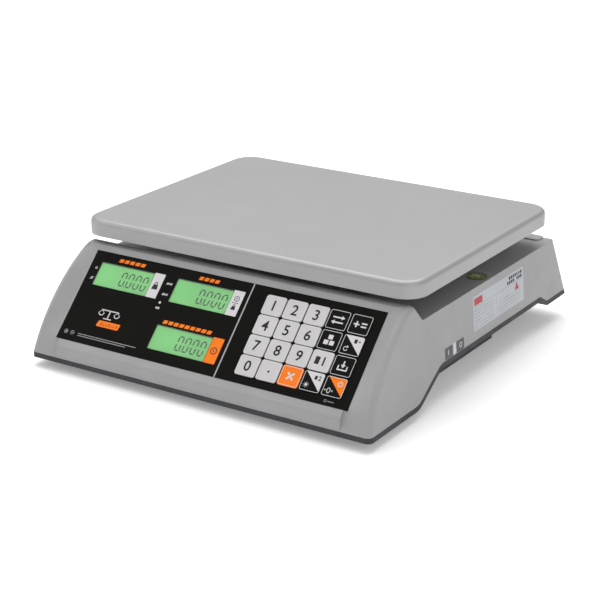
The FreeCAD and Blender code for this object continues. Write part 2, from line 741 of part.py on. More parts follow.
def make_upper_housing():
    seam = above_underside(SEAM_BAND)
    outer = soften(hull()).common(seam).cut(pocket(0))
    outer = outer.fuse(front_strip())
    cap_half = BODY_WIDTH / 2 - REAR_CAP_MARGIN
    cap = rounded_box(
        -cap_half,
        cap_half,
        back(REAR_TOP_DEPTH - REAR_CAP_DEPTH),
        back(REAR_TOP_DEPTH - REAR_ROUND / 2),
        DECK_HEIGHT - WALL,
        DECK_HEIGHT + REAR_CAP_RISE,
        REAR_ROUND / 2,
    )
    outer = outer.fuse(cap)
    inner = hull(WALL).cut(pocket(WALL))
    shell = outer.cut(inner)
    bosses = []
    for x, y in screw_places():
        foot = floor_under(x, y) + WALL
        post = upright(BOSS_RADIUS, x, y, foot, HIGH).common(outer)
        bosses.append(post)
    shell = union([shell, *bosses])
    rim = rounded_box(*deck_hole(DECK_HOLE_MARGIN + DECK_RIM), DECK_HEIGHT - SLACK,
                      DECK_HEIGHT + DECK_RIM_RISE, DECK_HOLE_MARGIN)
    shell = shell.fuse(rim)
    cuts = panel_openings() + rear_openings()
    cuts.append(rounded_box(*deck_hole(DECK_HOLE_MARGIN), DECK_HEIGHT - 2 * WALL,
                            DECK_HEIGHT + DECK_RIM_RISE + SLACK, DECK_HOLE_MARGIN - DECK_RIM))
    cuts.append(upright(LEVEL_RADIUS, LEVEL_X, back(LEVEL_DEPTH), DECK_HEIGHT - 2 * WALL,
                        DECK_HEIGHT + SLACK))
    for x, y in screw_places():
        foot = floor_under(x, y) + WALL
        cuts.append(upright(SCREW_RADIUS, x, y, foot - SLACK, foot + SCREW_GRIP + SLACK))
    for cut in cuts:
        shell = shell.cut(cut)
    return shell.removeSplitter()


def belly(inset):
    """The deep middle of the lower housing."""
    top = POD_TOP if inset else ARCH_HEIGHT + WALL
    return box(
        -BELLY_HALF + inset,
        BELLY_HALF - inset,
        back(BELLY_FRONT + inset),
        back(BELLY_BACK - inset),
        FRONT_UNDERSIDE + inset,
        top,
    )


def pod(inset):
    """The box beside the belly that holds the inlet and the switch."""
    top = POD_TOP if inset else ARCH_HEIGHT + WALL
    return box(
        BELLY_HALF - 2 * WALL,
        POD_FACE - inset,
        back(POD_FRONT + inset),
        back(POD_BACK - inset),
        POD_UNDERSIDE + inset,
        top,
    )


def battery_hatch(margin, z0, z1):
    """A block over the battery, seen from below."""
    half_x = BATTERY_LENGTH / 2 + margin
    half_y = BATTERY_WIDTH / 2 + margin
    middle = back(BATTERY_DEPTH)
    return box(BATTERY_X - half_x, BATTERY_X + half_x, middle - half_y, middle + half_y, z0, z1)


def foot_places():
    return [
        (f"foot_{end}_{side}", sign * FOOT_X, back(depth))
        for end, depth in FOOT_DEPTHS.items()
        for side, sign in (("left", -1), ("right", 1))
    ]


def inlet_block(width, height, x0, x1):
    middle = back(INLET_DEPTH)
    return box(x0, x1, middle - width / 2, middle + width / 2,
               INLET_HEIGHT - height / 2, INLET_HEIGHT + height / 2)


def switch_block(width, height, x0, x1):
    middle = back(SWITCH_DEPTH)
    return box(x0, x1, middle - width / 2, middle + width / 2,
               SWITCH_HEIGHT - height / 2, SWITCH_HEIGHT + height / 2)


def make_lower_housing():
    form = soften(hull())
    band = form.common(above_underside(0)).cut(above_underside(SEAM_BAND))
    hollow = hull(WALL).common(above_underside(WALL))
    outer = band.fuse(belly(0).common(form)).fuse(pod(0))
    inside = hollow.fuse(belly(WALL)).fuse(pod(WALL))
    tray = outer.cut(inside)
    bosses = []
    for name, x, y in foot_places():
        bosses.append(upright(STUD_RADIUS + FOOT_BOSS_WALL, x, y, FRONT_UNDERSIDE, FOOT_BOSS_TOP))
    tray = union([tray, *bosses])
    cuts = [upright(STUD_RADIUS + STUD_FIT, x, y, 0, HIGH) for name, x, y in foot_places()]
    for x, y in screw_places():
        low = floor_under(x, y)
        cuts.append(upright(SCREW_RADIUS + SCREW_FIT, x, y, low - SLACK, low + WALL + SLACK))
    cuts.append(battery_hatch(DOOR_MARGIN + DOOR_GAP, FRONT_UNDERSIDE - SLACK, FRONT_UNDERSIDE + WALL / 2))
    cuts.append(battery_hatch(DOOR_MARGIN - DOOR_LIP, FRONT_UNDERSIDE - SLACK, BELLY_FLOOR + SLACK))
    cuts.append(inlet_block(INLET_BODY_WIDTH, INLET_BODY_HEIGHT, POD_FACE - 2 * WALL, POD_FACE + SLACK))
    cuts.append(switch_block(SWITCH_WIDTH, SWITCH_TALL, POD_FACE - 2 * WALL, POD_FACE + SLACK))
    for cut in cuts:
        tray = tray.cut(cut)
    return tray.removeSplitter()


def make_housing_screws():
    screws = []
    for x, y in screw_places():
        low = floor_under(x, y)
        head = upright(SCREW_HEAD_RADIUS, x, y, low - SCREW_HEAD, low)
        shank = upright(SCREW_RADIUS, x, y, low, low + WALL + SCREW_GRIP)
        screws.append(head.fuse(shank).removeSplitter())
    return Part.makeCompound(screws)


# ---------------------------------------------------------------- weighing parts

def pan_block(inset, z0, z1):
    half = PAN_WIDTH / 2 - inset
    front = back(PAN_FRONT_DEPTH + inset)
    rear = back(PAN_FRONT_DEPTH + PAN_DEPTH - inset)
    return rounded_box(-half, half, front, rear, z0, z1, PAN_CORNER - inset)


def make_pan():
    low = PAN_TOP - PAN_SKIRT
    skins = []
    for inset, z0 in ((0.0, low), (PAN_SHEET, low + PAN_SHEET)):
        block = pan_block(inset, z0, PAN_TOP - inset)
        rim = [e for e in block.Edges if e.BoundBox.ZMin > PAN_TOP - inset - SLACK / 10]
        skins.append(block.makeFillet(PAN_EDGE_ROUND - inset, rim))
    mouth = pan_block(PAN_HEM, low - SLACK, low + 2 * SLACK)
    return skins[0].cut(skins[1]).cut(mouth).removeSplitter()


def pad_places():
    middle = back(PAN_CENTRE)
    return [(sx * PAD_X, middle + sy * PAD_Y) for sx in (-1, 1) for sy in (-1, 1)]


def make_carrier():
    """Cast cross under the pan: a hub with an arm to each pad."""
    middle = back(PAN_CENTRE)
    half_x = CARRIER_HUB_LENGTH / 2
    half_y = CARRIER_HUB_WIDTH / 2
    shapes = [rounded_box(-half_x, half_x, middle - half_y, middle + half_y,
                          CARRIER_UNDERSIDE, CARRIER_TOP, PAD_RADIUS)]
    for x, y in pad_places():
        reach = math.hypot(x, y - middle)
        arm = box(0, reach, -CARRIER_ARM / 2, CARRIER_ARM / 2, CARRIER_UNDERSIDE, CARRIER_TOP)
        arm.rotate(Vec(0, 0, 0), Vec(0, 0, 1), math.degrees(math.atan2(y - middle, x)))
        arm.translate(Vec(0, middle, 0))
        shapes.append(arm)
        shapes.append(upright(PAD_RADIUS + CARRIER_SEAT, x, y, CARRIER_UNDERSIDE, CARRIER_TOP))
    cross = union(shapes)
    for x in cell_bolt_offsets(CELL_END_X):
        cross = cross.cut(upright(CELL_BOLT_RADIUS, x, middle, CARRIER_UNDERSIDE - SLACK, CARRIER_TOP + SLACK))
    return cross


def make_pan_pads():
    return Part.makeCompound([upright(PAD_RADIUS, x, y, CARRIER_TOP, CARRIER_TOP + PAD_THICKNESS)
                              for x, y in pad_places()])


def cell_bolt_offsets(end_x):
    return (end_x - CELL_BOLT_PITCH / 2, end_x + CELL_BOLT_PITCH / 2)


def cell_block(x0, x1, z0, z1):
    middle = back(PAN_CENTRE)
    return box(x0, x1, middle - CELL_WIDTH / 2, middle + CELL_WIDTH / 2, z0, z1)


def bolted(block, end_x):
    """A block with the two bolt holes of one end of the load cell."""
    middle = back(PAN_CENTRE)
    for x in cell_bolt_offsets(end_x):
        block = block.cut(upright(CELL_BOLT_RADIUS, x, middle, 0, HIGH))
    return block


def make_load_cell():
    """Aluminium bar thinned by two bores that a slot joins."""
    bar = cell_block(-CELL_LENGTH / 2, CELL_LENGTH / 2, CELL_UNDERSIDE, CELL_TOP)
    middle_z = (CELL_UNDERSIDE + CELL_TOP) / 2
    front = back(PAN_CENTRE) - CELL_WIDTH
    for sign in (-1, 1):
        start = Vec(sign * CELL_HOLE_OFFSET, front, middle_z)
        bar = bar.cut(Part.makeCylinder(CELL_HOLE_RADIUS, 2 * CELL_WIDTH, start, Vec(0, 1, 0)))
    slot = box(-CELL_HOLE_OFFSET, CELL_HOLE_OFFSET, front, front + 2 * CELL_WIDTH,
               middle_z - CELL_SLOT_HALF, middle_z + CELL_SLOT_HALF)
    bar = bar.cut(slot)
    return bolted(bolted(bar, CELL_END_X), -CELL_END_X)


def make_lower_spacer():
    low = BELLY_FLOOR + FRAME_THICKNESS
    block = cell_block(-CELL_LENGTH / 2, -CELL_LENGTH / 2 + CELL_END, low, CELL_UNDERSIDE)
    return bolted(block, -CELL_END_X)


def make_upper_spacer():
    block = cell_block(CELL_LENGTH / 2 - CELL_END, CELL_LENGTH / 2, CELL_TOP, CARRIER_UNDERSIDE)
    return bolted(block, CELL_END_X)


def make_base_frame():
    """Folded steel plate on the belly's floor, with an upright flange at each long side."""
    middle = back(PAN_CENTRE)
    half_x = FRAME_LENGTH / 2
    half_y = FRAME_WIDTH / 2
    flange_top = BELLY_FLOOR + CELL_WIDTH / 2
    plate = box(-half_x, half_x, middle - half_y, middle + half_y, BELLY_FLOOR, BELLY_FLOOR + FRAME_THICKNESS)
    front = box(-half_x, half_x, middle - half_y, middle - half_y + FRAME_THICKNESS, BELLY_FLOOR, flange_top)
    rear = box(-half_x, half_x, middle + half_y - FRAME_THICKNESS, middle + half_y, BELLY_FLOOR, flange_top)
    return bolted(union([plate, front, rear]), -CELL_END_X)


def make_cell_bolts():
    """Bolts up through frame and lower spacer into the cell's fixed end."""
    middle = back(PAN_CENTRE)
    return Part.makeCompound([upright(CELL_BOLT_RADIUS, x, middle, BELLY_FLOOR, CELL_UNDERSIDE + CELL_HEIGHT / 2)
                              for x in cell_bolt_offsets(-CELL_END_X)])


def make_carrier_bolts():
    """Bolts down through the carrier into the upper spacer."""
    middle = back(PAN_CENTRE)
    length = (CARRIER_UNDERSIDE - CELL_TOP) / 2
    return Part.makeCompound([upright(CELL_BOLT_RADIUS, x, middle, CARRIER_UNDERSIDE - length, CARRIER_TOP)
                              for x in cell_bolt_offsets(CELL_END_X)])


# ---------------------------------------------------------------- small parts

def make_level_cup():
    x, y = LEVEL_X, back(LEVEL_DEPTH)
    top = DECK_HEIGHT + LEVEL_PROUD
    cup = upright(LEVEL_RADIUS - LEVEL_GAP, x, y, top - LEVEL_DEEP, top)
    well = upright(LEVEL_RADIUS - LEVEL_FLANGE_WALL, x, y, top - LEVEL_DEEP + LEVEL_FLANGE_WALL, top + SLACK)
    return cup.cut(well)


def make_level_vial():
    x, y = LEVEL_X, back(LEVEL_DEPTH)
    top = DECK_HEIGHT + LEVEL_PROUD
    radius = LEVEL_RADIUS - LEVEL_FLANGE_WALL - LEVEL_GAP / 2
    return upright(radius, x, y, top - LEVEL_DEEP + LEVEL_FLANGE_WALL, top - LEVEL_PROUD / 2)


def make_inlet_body():
    inner_face = POD_FACE - WALL
    flange = inlet_block(INLET_FLANGE_WIDTH, INLET_FLANGE_HEIGHT, inner_face - INLET_FLANGE, inner_face)
    body = inlet_block(INLET_BODY_WIDTH, INLET_BODY_HEIGHT, POD_FACE - INLET_BODY_LENGTH, POD_FACE)
    shape = flange.fuse(body).removeSplitter()
    floor_x = POD_FACE - INLET_MOUTH_DEPTH
    middle = back(INLET_DEPTH)
    half = INLET_MOUTH_WIDTH / 2
    low = INLET_HEIGHT - INLET_MOUTH_HEIGHT / 2
    top = INLET_HEIGHT + INLET_MOUTH_HEIGHT / 2
    outline = [
        Vec(floor_x, middle - half, low),
        Vec(floor_x, middle + half, low),
        Vec(floor_x, middle + half, top - INLET_BEVEL),
        Vec(floor_x, middle + half - INLET_BEVEL, top),
        Vec(floor_x, middle - half + INLET_BEVEL, top),
        Vec(floor_x, middle - half, top - INLET_BEVEL),
    ]
    mouth = Part.Face(Part.makePolygon(outline + outline[:1])).extrude(Vec(INLET_MOUTH_DEPTH + SLACK, 0, 0))
    return shape.cut(mouth)


def make_inlet_blades():
    floor_x = POD_FACE - INLET_MOUTH_DEPTH
    blades = []
    for offset, rise in ((-1, -1), (0, 1), (1, -1)):
        y = back(INLET_DEPTH) + offset * INLET_BLADE_PITCH
        z = INLET_HEIGHT + rise * INLET_BLADE_OFFSET
        blades.append(box(floor_x, floor_x + INLET_BLADE_LENGTH,
                          y - INLET_BLADE_WIDTH / 2, y + INLET_BLADE_WIDTH / 2,
                          z - INLET_BLADE_HEIGHT / 2, z + INLET_BLADE_HEIGHT / 2))
    return Part.makeCompound(blades)


def make_switch_body():
    face = POD_FACE + SWITCH_FLANGE
    flange = switch_block(SWITCH_WIDTH + 2 * SWITCH_RIM, SWITCH_TALL + 2 * SWITCH_RIM, POD_FACE, face)
    body = switch_block(SWITCH_WIDTH, SWITCH_TALL, face - SWITCH_LENGTH, face)
    well = switch_block(ROCKER_WIDTH + 2 * ROCKER_GAP, ROCKER_TALL + 2 * ROCKER_GAP,
                        face - ROCKER_DEEP - 2 * ROCKER_GAP - ROCKER_PROUD, face + SLACK)
    return flange.fuse(body).removeSplitter().cut(well)


def make_switch_rocker():
    """Shallow V-faced rocker, resting with its front half pressed in."""
    face = POD_FACE + SWITCH_FLANGE
    pivot_x = face - ROCKER_PIVOT
    middle = back(SWITCH_DEPTH)
    half = ROCKER_WIDTH / 2
    lift = half * math.tan(math.radians(ROCKER_TILT))
    low = SWITCH_HEIGHT - ROCKER_TALL / 2
    outline = [
        Vec(face - ROCKER_DEEP + lift, middle - half, low),
        Vec(face + lift, middle - half, low),
        Vec(face, middle, low),
        Vec(face + lift, middle + half, low),
        Vec(face - ROCKER_DEEP + lift, middle + half, low),
        Vec(face - ROCKER_DEEP, middle, low),
    ]
    rocker = Part.Face(Part.makePolygon(outline + outline[:1])).extrude(Vec(0, 0, ROCKER_TALL))
    rocker.rotate(Vec(pivot_x, middle, 0), Vec(0, 0, 1), ROCKER_TILT)
    return rocker


def make_battery():
    low = BELLY_FLOOR + BATTERY_FLOOR_GAP
    block = battery_hatch(0, low, low + BATTERY_HEIGHT)
    terminals = []
    for sign in (-1, 1):
        x = BATTERY_X + sign * BATTERY_LENGTH / 3
        y = back(BATTERY_DEPTH) - BATTERY_WIDTH / 3
        terminals.append(box(x - TERMINAL_WIDTH / 2, x + TERMINAL_WIDTH / 2,
                             y - TERMINAL_THICKNESS / 2, y + TERMINAL_THICKNESS / 2,
                             low + BATTERY_HEIGHT, low + BATTERY_HEIGHT + TERMINAL_HEIGHT))
    return union([block, *terminals])


def make_battery_door():
    return battery_hatch(DOOR_MARGIN, FRONT_UNDERSIDE, FRONT_UNDERSIDE + WALL / 2 - DOOR_GAP / 2)


def make_main_board():
    """Board on four legs with its tallest components."""
    x0 = MAIN_BOARD_LEFT
    x1 = x0 + MAIN_BOARD_WIDTH
    y0 = back(MAIN_BOARD_FRONT)
    y1 = y0 + MAIN_BOARD_LENGTH
    top = MAIN_BOARD_HEIGHT + BOARD_THICKNESS
    shapes = [box(x0, x1, y0, y1, MAIN_BOARD_HEIGHT, top)]
    for x, y, width, length, height in BOARD_PARTS.values():
        shapes.append(box(x0 + x, x0 + x + width, y0 + y, y0 + y + length, top, top + height))
    x, y = CAPACITOR_PLACE
    shapes.append(upright(CAPACITOR_RADIUS, x0 + x, y0 + y, top, top + CAPACITOR_HEIGHT))
    inset = MAIN_BOARD_LEG_INSET
    for x in (x0 + inset, x1 - inset):
        for y in (y0 + inset, y1 - inset):
            shapes.append(upright(MAIN_BOARD_LEG_RADIUS, x, y, BELLY_FLOOR, MAIN_BOARD_HEIGHT))
    return union(shapes)


def make_foot_stud(x, y):
    return upright(STUD_RADIUS, x, y, PAD_FOOT_FLOOR + STUD_FIT, PAD_FOOT_FLOOR + STUD_LENGTH)


def make_foot_pad(x, y):
    top = FRONT_UNDERSIDE - PAD_FOOT_GAP
    pad = upright(PAD_FOOT_RADIUS, x, y, 0, top)
    pad = pad.makeChamfer(PAD_FOOT_CHAMFER, [e for e in pad.Edges if e.BoundBox.ZMax < SLACK / 10])
    return pad.cut(upright(STUD_RADIUS + STUD_FIT, x, y, PAD_FOOT_FLOOR, top + SLACK))


def build():
    parts = {
        "upper_housing": make_upper_housing(),
        "lower_housing": make_lower_housing(),
        "housing_screws": make_housing_screws(),
        "front_overlay": make_front_overlay(),
        "front_windows": make_front_windows(),
        "display_board": make_display_board(),
        "keypad_board": make_keypad_board(),
        "rear_overlay": make_rear_overlay(),
        "rear_windows": make_rear_windows(),
        "rear_displays": make_rear_displays(),
        "rear_board": make_rear_board(),
        "pan": make_pan(),
        "pan_carrier": make_carrier(),
        "pan_pads": make_pan_pads(),
        "load_cell": make_load_cell(),
        "lower_spacer": make_lower_spacer(),
        "upper_spacer": make_upper_spacer(),
        "base_frame": make_base_frame(),
        "cell_bolts": make_cell_bolts(),
        "carrier_bolts": make_carrier_bolts(),
        "level_cup": make_level_cup(),
        "level_vial": make_level_vial(),
        "inlet_body": make_inlet_body(),
        "inlet_blades": make_inlet_blades(),
        "switch_body": make_switch_body(),
        "switch_rocker": make_switch_rocker(),
        "battery": make_battery(),
        "battery_door": make_battery_door(),
        "main_board": make_main_board(),
    }
    for name, place in LCD_PLACES.items():
        parts[name] = make_lcd(place)
    for row, names in enumerate(KEY_NAMES):
        for column, name in enumerate(names):
            parts[name] = make_key(column, row)
    for name, x, y in foot_places():
        parts[f"{name}_stud"] = make_foot_stud(x, y)
        parts[f"{name}_pad"] = make_foot_pad(x, y)
    return parts


def main():
    os.makedirs("parts", exist_ok=True)
    for name, shape in build().items():
        if not shape.isValid():
            raise ValueError(f"{name} is not a valid shape")
        shape.exportStep(f"parts/{name}.step")
        print(name, len(shape.Solids), "solid(s)", round(shape.Volume / 1000, 1), "cm3")


main()
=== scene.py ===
"""Finishes, printed marks and fitted detail for a retail price scale.

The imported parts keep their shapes. This script gives each one its finish and
adds the thin pieces they lack: the print on the films, the marks on the keys,
the display digits, the labels, the screw heads and the treads of the feet.
Sizes inside the classes are millimetres; every finished mesh is in metres.
"""

from __future__ import annotations

import json
import logging
import math
from dataclasses import dataclass, field
from enum import Enum
from functools import cached_property
from typing import Iterable, NamedTuple, Sequence

import bmesh
import bpy
from mathutils import Matrix, Vector

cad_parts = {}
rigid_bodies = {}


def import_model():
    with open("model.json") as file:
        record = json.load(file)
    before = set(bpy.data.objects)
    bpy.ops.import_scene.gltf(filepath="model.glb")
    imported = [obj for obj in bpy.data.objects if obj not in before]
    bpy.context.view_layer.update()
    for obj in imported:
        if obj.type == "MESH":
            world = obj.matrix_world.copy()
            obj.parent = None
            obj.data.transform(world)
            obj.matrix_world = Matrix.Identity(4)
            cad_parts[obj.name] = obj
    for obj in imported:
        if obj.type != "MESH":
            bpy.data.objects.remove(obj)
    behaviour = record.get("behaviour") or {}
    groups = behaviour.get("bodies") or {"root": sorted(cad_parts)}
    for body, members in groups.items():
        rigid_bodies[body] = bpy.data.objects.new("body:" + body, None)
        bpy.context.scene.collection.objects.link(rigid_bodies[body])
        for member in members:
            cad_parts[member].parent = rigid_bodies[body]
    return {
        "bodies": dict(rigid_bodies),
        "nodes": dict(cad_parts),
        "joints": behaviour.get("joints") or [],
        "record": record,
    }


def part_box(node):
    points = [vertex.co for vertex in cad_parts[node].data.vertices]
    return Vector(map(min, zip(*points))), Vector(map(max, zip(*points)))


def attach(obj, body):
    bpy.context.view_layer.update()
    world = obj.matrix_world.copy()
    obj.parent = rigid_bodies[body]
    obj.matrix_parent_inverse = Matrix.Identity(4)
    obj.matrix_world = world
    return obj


Point = tuple[float, float]
Loop = Sequence[Point]
Colour = tuple[float, float, float]
Box = tuple[float, float, float, float]
Socket = bpy.types.NodeSocket
Material = bpy.types.Material
Mesh = bpy.types.Mesh
Piece = bpy.types.Object

MM = 0.001
INK = 0.05  # thickness of printed ink, mm
CLEAR = 0.01  # gap that keeps a thin piece off the face behind it, mm
QUARTER_TURN = (0, 0, math.pi / 2)
LOG = logging.getLogger("price_scale")


class Body(Enum):
    """The moving bodies that pieces ride on."""

    CASE = "body"
    ROCKER = "rocker"
    HATCH = "battery_door"


class Slot(Enum):
    """The record's finishes that the added pieces belong to."""

    HOUSING = "housing_plastic"
    BASE = "base_plastic"
    FASTENER = "fastener_steel"
    FLUID = "level_fluid"
    KEY_WHITE = "key_white"
    KEY_BLACK = "key_black"
    KEY_ORANGE = "key_orange"
    FOOT = "foot_rubber"


class Face(Enum):
    """How a key is coloured."""

    WHITE = "white"
    BLACK = "black"
    ORANGE = "orange"
    SPLIT_WHITE = "split_white"
    SPLIT_ORANGE = "split_orange"


# ------------------------------------------------------------------ finishes


class Shade:
    """A node material built around one Principled surface."""

    def __init__(self, name: str, colour: Colour, rough: float) -> None:
        """Start a material.

        Args:
            name: Name of the material.
            colour: Linear base colour.
            rough: Roughness where nothing varies it.
        """
        self.material = bpy.data.materials.new(name)
        self.material.use_nodes = True
        self.tree = self.material.node_tree
        self.surface = self.tree.nodes["Principled BSDF"]
        self.place = self.tree.nodes.new("ShaderNodeTexCoord").outputs["Object"]
        self.fix("Base Color", (*colour, 1.0))
        self.fix("Roughness", rough)

    def fix(self, socket: str, value: object) -> None:
        """Set a constant on the surface's own socket."""
        self.surface.inputs[socket].default_value = value

    def grain(self, size: float, detail: float = 2.0,
              stretch: Sequence[float] = (1, 1, 1)) -> Socket:
        """Noise over the piece.

        Args:
            size: Size of one grain, mm.
            detail: Octaves of the noise.
            stretch: Factor on each axis; below one draws the grain out.

        Returns:
            The noise's factor socket.
        """
        mapping = self.tree.nodes.new("ShaderNodeMapping")
        mapping.inputs["Scale"].default_value = stretch
        self.tree.links.new(self.place, mapping.inputs["Vector"])
        noise = self.tree.nodes.new("ShaderNodeTexNoise")
        noise.inputs["Scale"].default_value = 1.0 / (size * MM)
        noise.inputs["Detail"].default_value = detail
        self.tree.links.new(mapping.outputs["Vector"], noise.inputs["Vector"])
        return noise.outputs["Fac"]

    def cells(self, size: float) -> Socket:
        """Irregular cells over the piece.

        Args:
            size: Size of one cell, mm.

        Returns:
            The socket of the distance to a cell's middle.
        """
        cells = self.tree.nodes.new("ShaderNodeTexVoronoi")
        cells.inputs["Scale"].default_value = 1.0 / (size * MM)
        self.tree.links.new(self.place, cells.inputs["Vector"])
        return cells.outputs["Distance"]

    def span(self, value: Socket, low: float, high: float,
             start: float = 0.3, stop: float = 0.7) -> Socket:
        """Stretch a varying value.

        Args:
            value: The socket to stretch.
            low: Result where the value is at start or less.
            high: Result where the value is at stop or more.
            start: Value that gives low.
            stop: Value that gives high.

        Returns:
            The result's socket.
        """
        node = self.tree.nodes.new("ShaderNodeMapRange")
        limits = {"From Min": start, "From Max": stop, "To Min": low, "To Max": high}
        for key, number in limits.items():
            node.inputs[key].default_value = number
        self.tree.links.new(value, node.inputs["Value"])
        return node.outputs["Result"]

    def tint(self, value: Socket, low: Colour, high: Colour) -> Socket:
        """Blend two colours.

        Args:
            value: The varying value.
            low: Colour where the value is low.
            high: Colour where the value is high.

        Returns:
            The colour's socket.
        """
        node = self.tree.nodes.new("ShaderNodeMix")
        node.data_type = "RGBA"
        node.inputs[6].default_value = (*low, 1.0)
        node.inputs[7].default_value = (*high, 1.0)
        self.tree.links.new(self.span(value, 0.0, 1.0), node.inputs[0])
        return node.outputs[2]

    def vary(self, socket: str, value: Socket) -> None:
        """Drive one of the surface's sockets by a varying value."""
        self.tree.links.new(value, self.surface.inputs[socket])

    def emboss(self, *layers: tuple[Socket, float]) -> None:
        """Raise the surface by height sockets.

        Args:
            layers: Pairs of a height socket and its depth in mm.
        """
        normal = None
        for height, depth in layers:
            bump = self.tree.nodes.new("ShaderNodeBump")
            bump.inputs["Strength"].default_value = 1.0
            bump.inputs["Distance"].default_value = depth * MM
            self.tree.links.new(height, bump.inputs["Height"])
            if normal:
                self.tree.links.new(normal, bump.inputs["Normal"])
            normal = bump.outputs["Normal"]
        self.tree.links.new(normal, self.surface.inputs["Normal"])


def scaled(colour: Colour, factor: float) -> Colour:
    """A colour made lighter or darker by a factor."""
    return tuple(min(1.0, part * factor) for part in colour)


@dataclass(frozen=True)
class Finish:
    """A plain finish with a soft drift of tone; the base of the others."""

    name: str
    colour: Colour
    rough: float = 0.5
    gloss: float = 0.5
    drift: float = 0.04
    slot: Slot = field(default=Slot.HOUSING, kw_only=True)

    def make(self) -> Material:
        """Build the node material."""
        shade = Shade(self.name, self.colour, self.rough)
        shade.fix("Specular IOR Level", self.gloss)
        self.tone(shade)
        self.detail(shade)
        return shade.material

    def tone(self, shade: Shade) -> None:
        """Let the base colour drift a little over the piece."""
        low, high = scaled(self.colour, 1 - self.drift), scaled(self.colour, 1 + self.drift)
        shade.vary("Base Color", shade.tint(shade.grain(34.0, 4.0), low, high))

    def detail(self, shade: Shade) -> None:
        """Add the surface's own texture."""
        self.wear(shade, shade.grain(9.0, 3.0), 0.9, 1.12)

    def wear(self, shade: Shade, value: Socket, low: float, high: float) -> None:
        """Let the roughness vary.

        Args:
            shade: The material.
            value: The varying value.
            low: Least roughness, as a share of the finish's own.
            high: Greatest roughness, as a share of the finish's own.
        """
        shade.vary("Roughness", shade.span(value, self.rough * low, min(1.0, self.rough * high)))


@dataclass(frozen=True)
class Moulded(Finish):
    """Moulded plastic with a fine spark-eroded texture."""

    texture: float = 0.55
    depth: float = 0.012

    def detail(self, shade: Shade) -> None:
        """Fine pits, broad flow marks and patches polished by handling.

        Args:
            shade: The material.
        """
        pits = shade.grain(self.texture, 3.0)
        flow = shade.grain(26.0, 2.0, (1.0, 0.35, 1.0))
        shade.emboss((pits, self.depth), (flow, self.depth * 2))
        self.wear(shade, shade.grain(15.0, 4.0), 0.86, 1.1)


@dataclass(frozen=True)
class SatinSheet(Finish):
    """Brushed sheet metal whose grain runs along X."""

    grain: float = 0.35
    metal: float = 0.5

    def detail(self, shade: Shade) -> None:
        """Long fine lines along the sheet, and faint cleaning marks.

        Args:
            shade: The material.
        """
        shade.fix("Metallic", self.metal)
        lines = shade.grain(self.grain, 3.0, (0.02, 1.0, 1.0))
        wipes = shade.grain(60.0, 3.0, (0.6, 1.0, 1.0))
        shade.emboss((lines, 0.0035))
        self.wear(shade, wipes, 0.97, 1.04)


@dataclass(frozen=True)
class Print(Finish):
    """Screen-printed ink with slightly uneven cover."""

    def detail(self, shade: Shade) -> None:
        """Fine unevenness of the ink.

        Args:
            shade: The material.
        """
        speck = shade.grain(0.5, 2.0)
        shade.emboss((speck, 0.004))
        self.wear(shade, speck, 0.92, 1.08)


@dataclass(frozen=True)
class PolyFilm(Finish):
    """Polyester film, printed from behind, with a velvet face."""

    def detail(self, shade: Shade) -> None:
        """Velvet texture and the faint shine of touched places."""
        shade.emboss((shade.cells(0.35), 0.004))
        self.wear(shade, shade.grain(12.0, 4.0), 0.85, 1.1)


@dataclass(frozen=True)
class Pane(Finish):
    """Thin clear window."""

    cover: float = 0.07

    def detail(self, shade: Shade) -> None:
        """Nearly clear, with soft smears in its shine."""
        shade.fix("Alpha", self.cover)
        self.wear(shade, shade.grain(7.0, 3.0), 0.7, 1.5)


@dataclass(frozen=True)
class Backlit(Finish):
    """Display glass lit from behind, brighter in patches near its lamps."""

    glow: float = 0.3

    def tone(self, shade: Shade) -> None:
        """Uneven light across the glass.

        Args:
            shade: The material.
        """
        lamp = shade.grain(30.0, 1.0)
        tone = shade.tint(lamp, scaled(self.colour, 0.9), scaled(self.colour, 1.08))
        shade.vary("Base Color", tone)
        shade.vary("Emission Color", tone)
        shade.fix("Emission Strength", self.glow)


@dataclass(frozen=True)
class Rubber(Finish):
    """Matt rubber with a fine bloom."""

    def detail(self, shade: Shade) -> None:
        """Fine pores and a dusty bloom."""
        shade.emboss((shade.grain(0.4, 4.0), 0.02))
        shade.vary("Roughness", shade.span(shade.grain(4.0, 4.0), 0.75, 0.98))


@dataclass(frozen=True)
class Metal(Finish):
    """Cast, machined or plated metal."""

    texture: float = 0.8
    depth: float = 0.02

    def detail(self, shade: Shade) -> None:
        """Grainy skin with brighter rubbed patches.

        Args:
            shade: The material.
        """
        shade.fix("Metallic", 1.0)
        shade.emboss((shade.grain(self.texture, 4.0), self.depth))
        self.wear(shade, shade.grain(5.0, 4.0), 0.75, 1.2)


@dataclass(frozen=True)
class Laminate(Finish):
    """Circuit board with tracks under its solder resist."""

    def tone(self, shade: Shade) -> None:
        """Lighter tracks that cross the board.

        Args:
            shade: The material.
        """
        wave = shade.tree.nodes.new("ShaderNodeTexWave")
        wave.inputs["Scale"].default_value = 260.0
        wave.inputs["Distortion"].default_value = 9.0
        shade.tree.links.new(shade.place, wave.inputs["Vector"])
        shade.vary("Base Color", shade.tint(wave.outputs["Fac"], self.colour, scaled(self.colour, 1.9)))


@dataclass(frozen=True)
class Fluid(Finish):
    """Tinted level fluid."""

    def detail(self, shade: Shade) -> None:
        """Clear depth with a glossy face.

        Args:
            shade: The material.
        """
        shade.fix("Transmission Weight", 0.35)
        shade.fix("IOR", 1.38)
        shade.fix("Coat Weight", 0.6)
        shade.vary("Roughness", shade.span(shade.grain(3.0, 1.0), 0.04, 0.12))


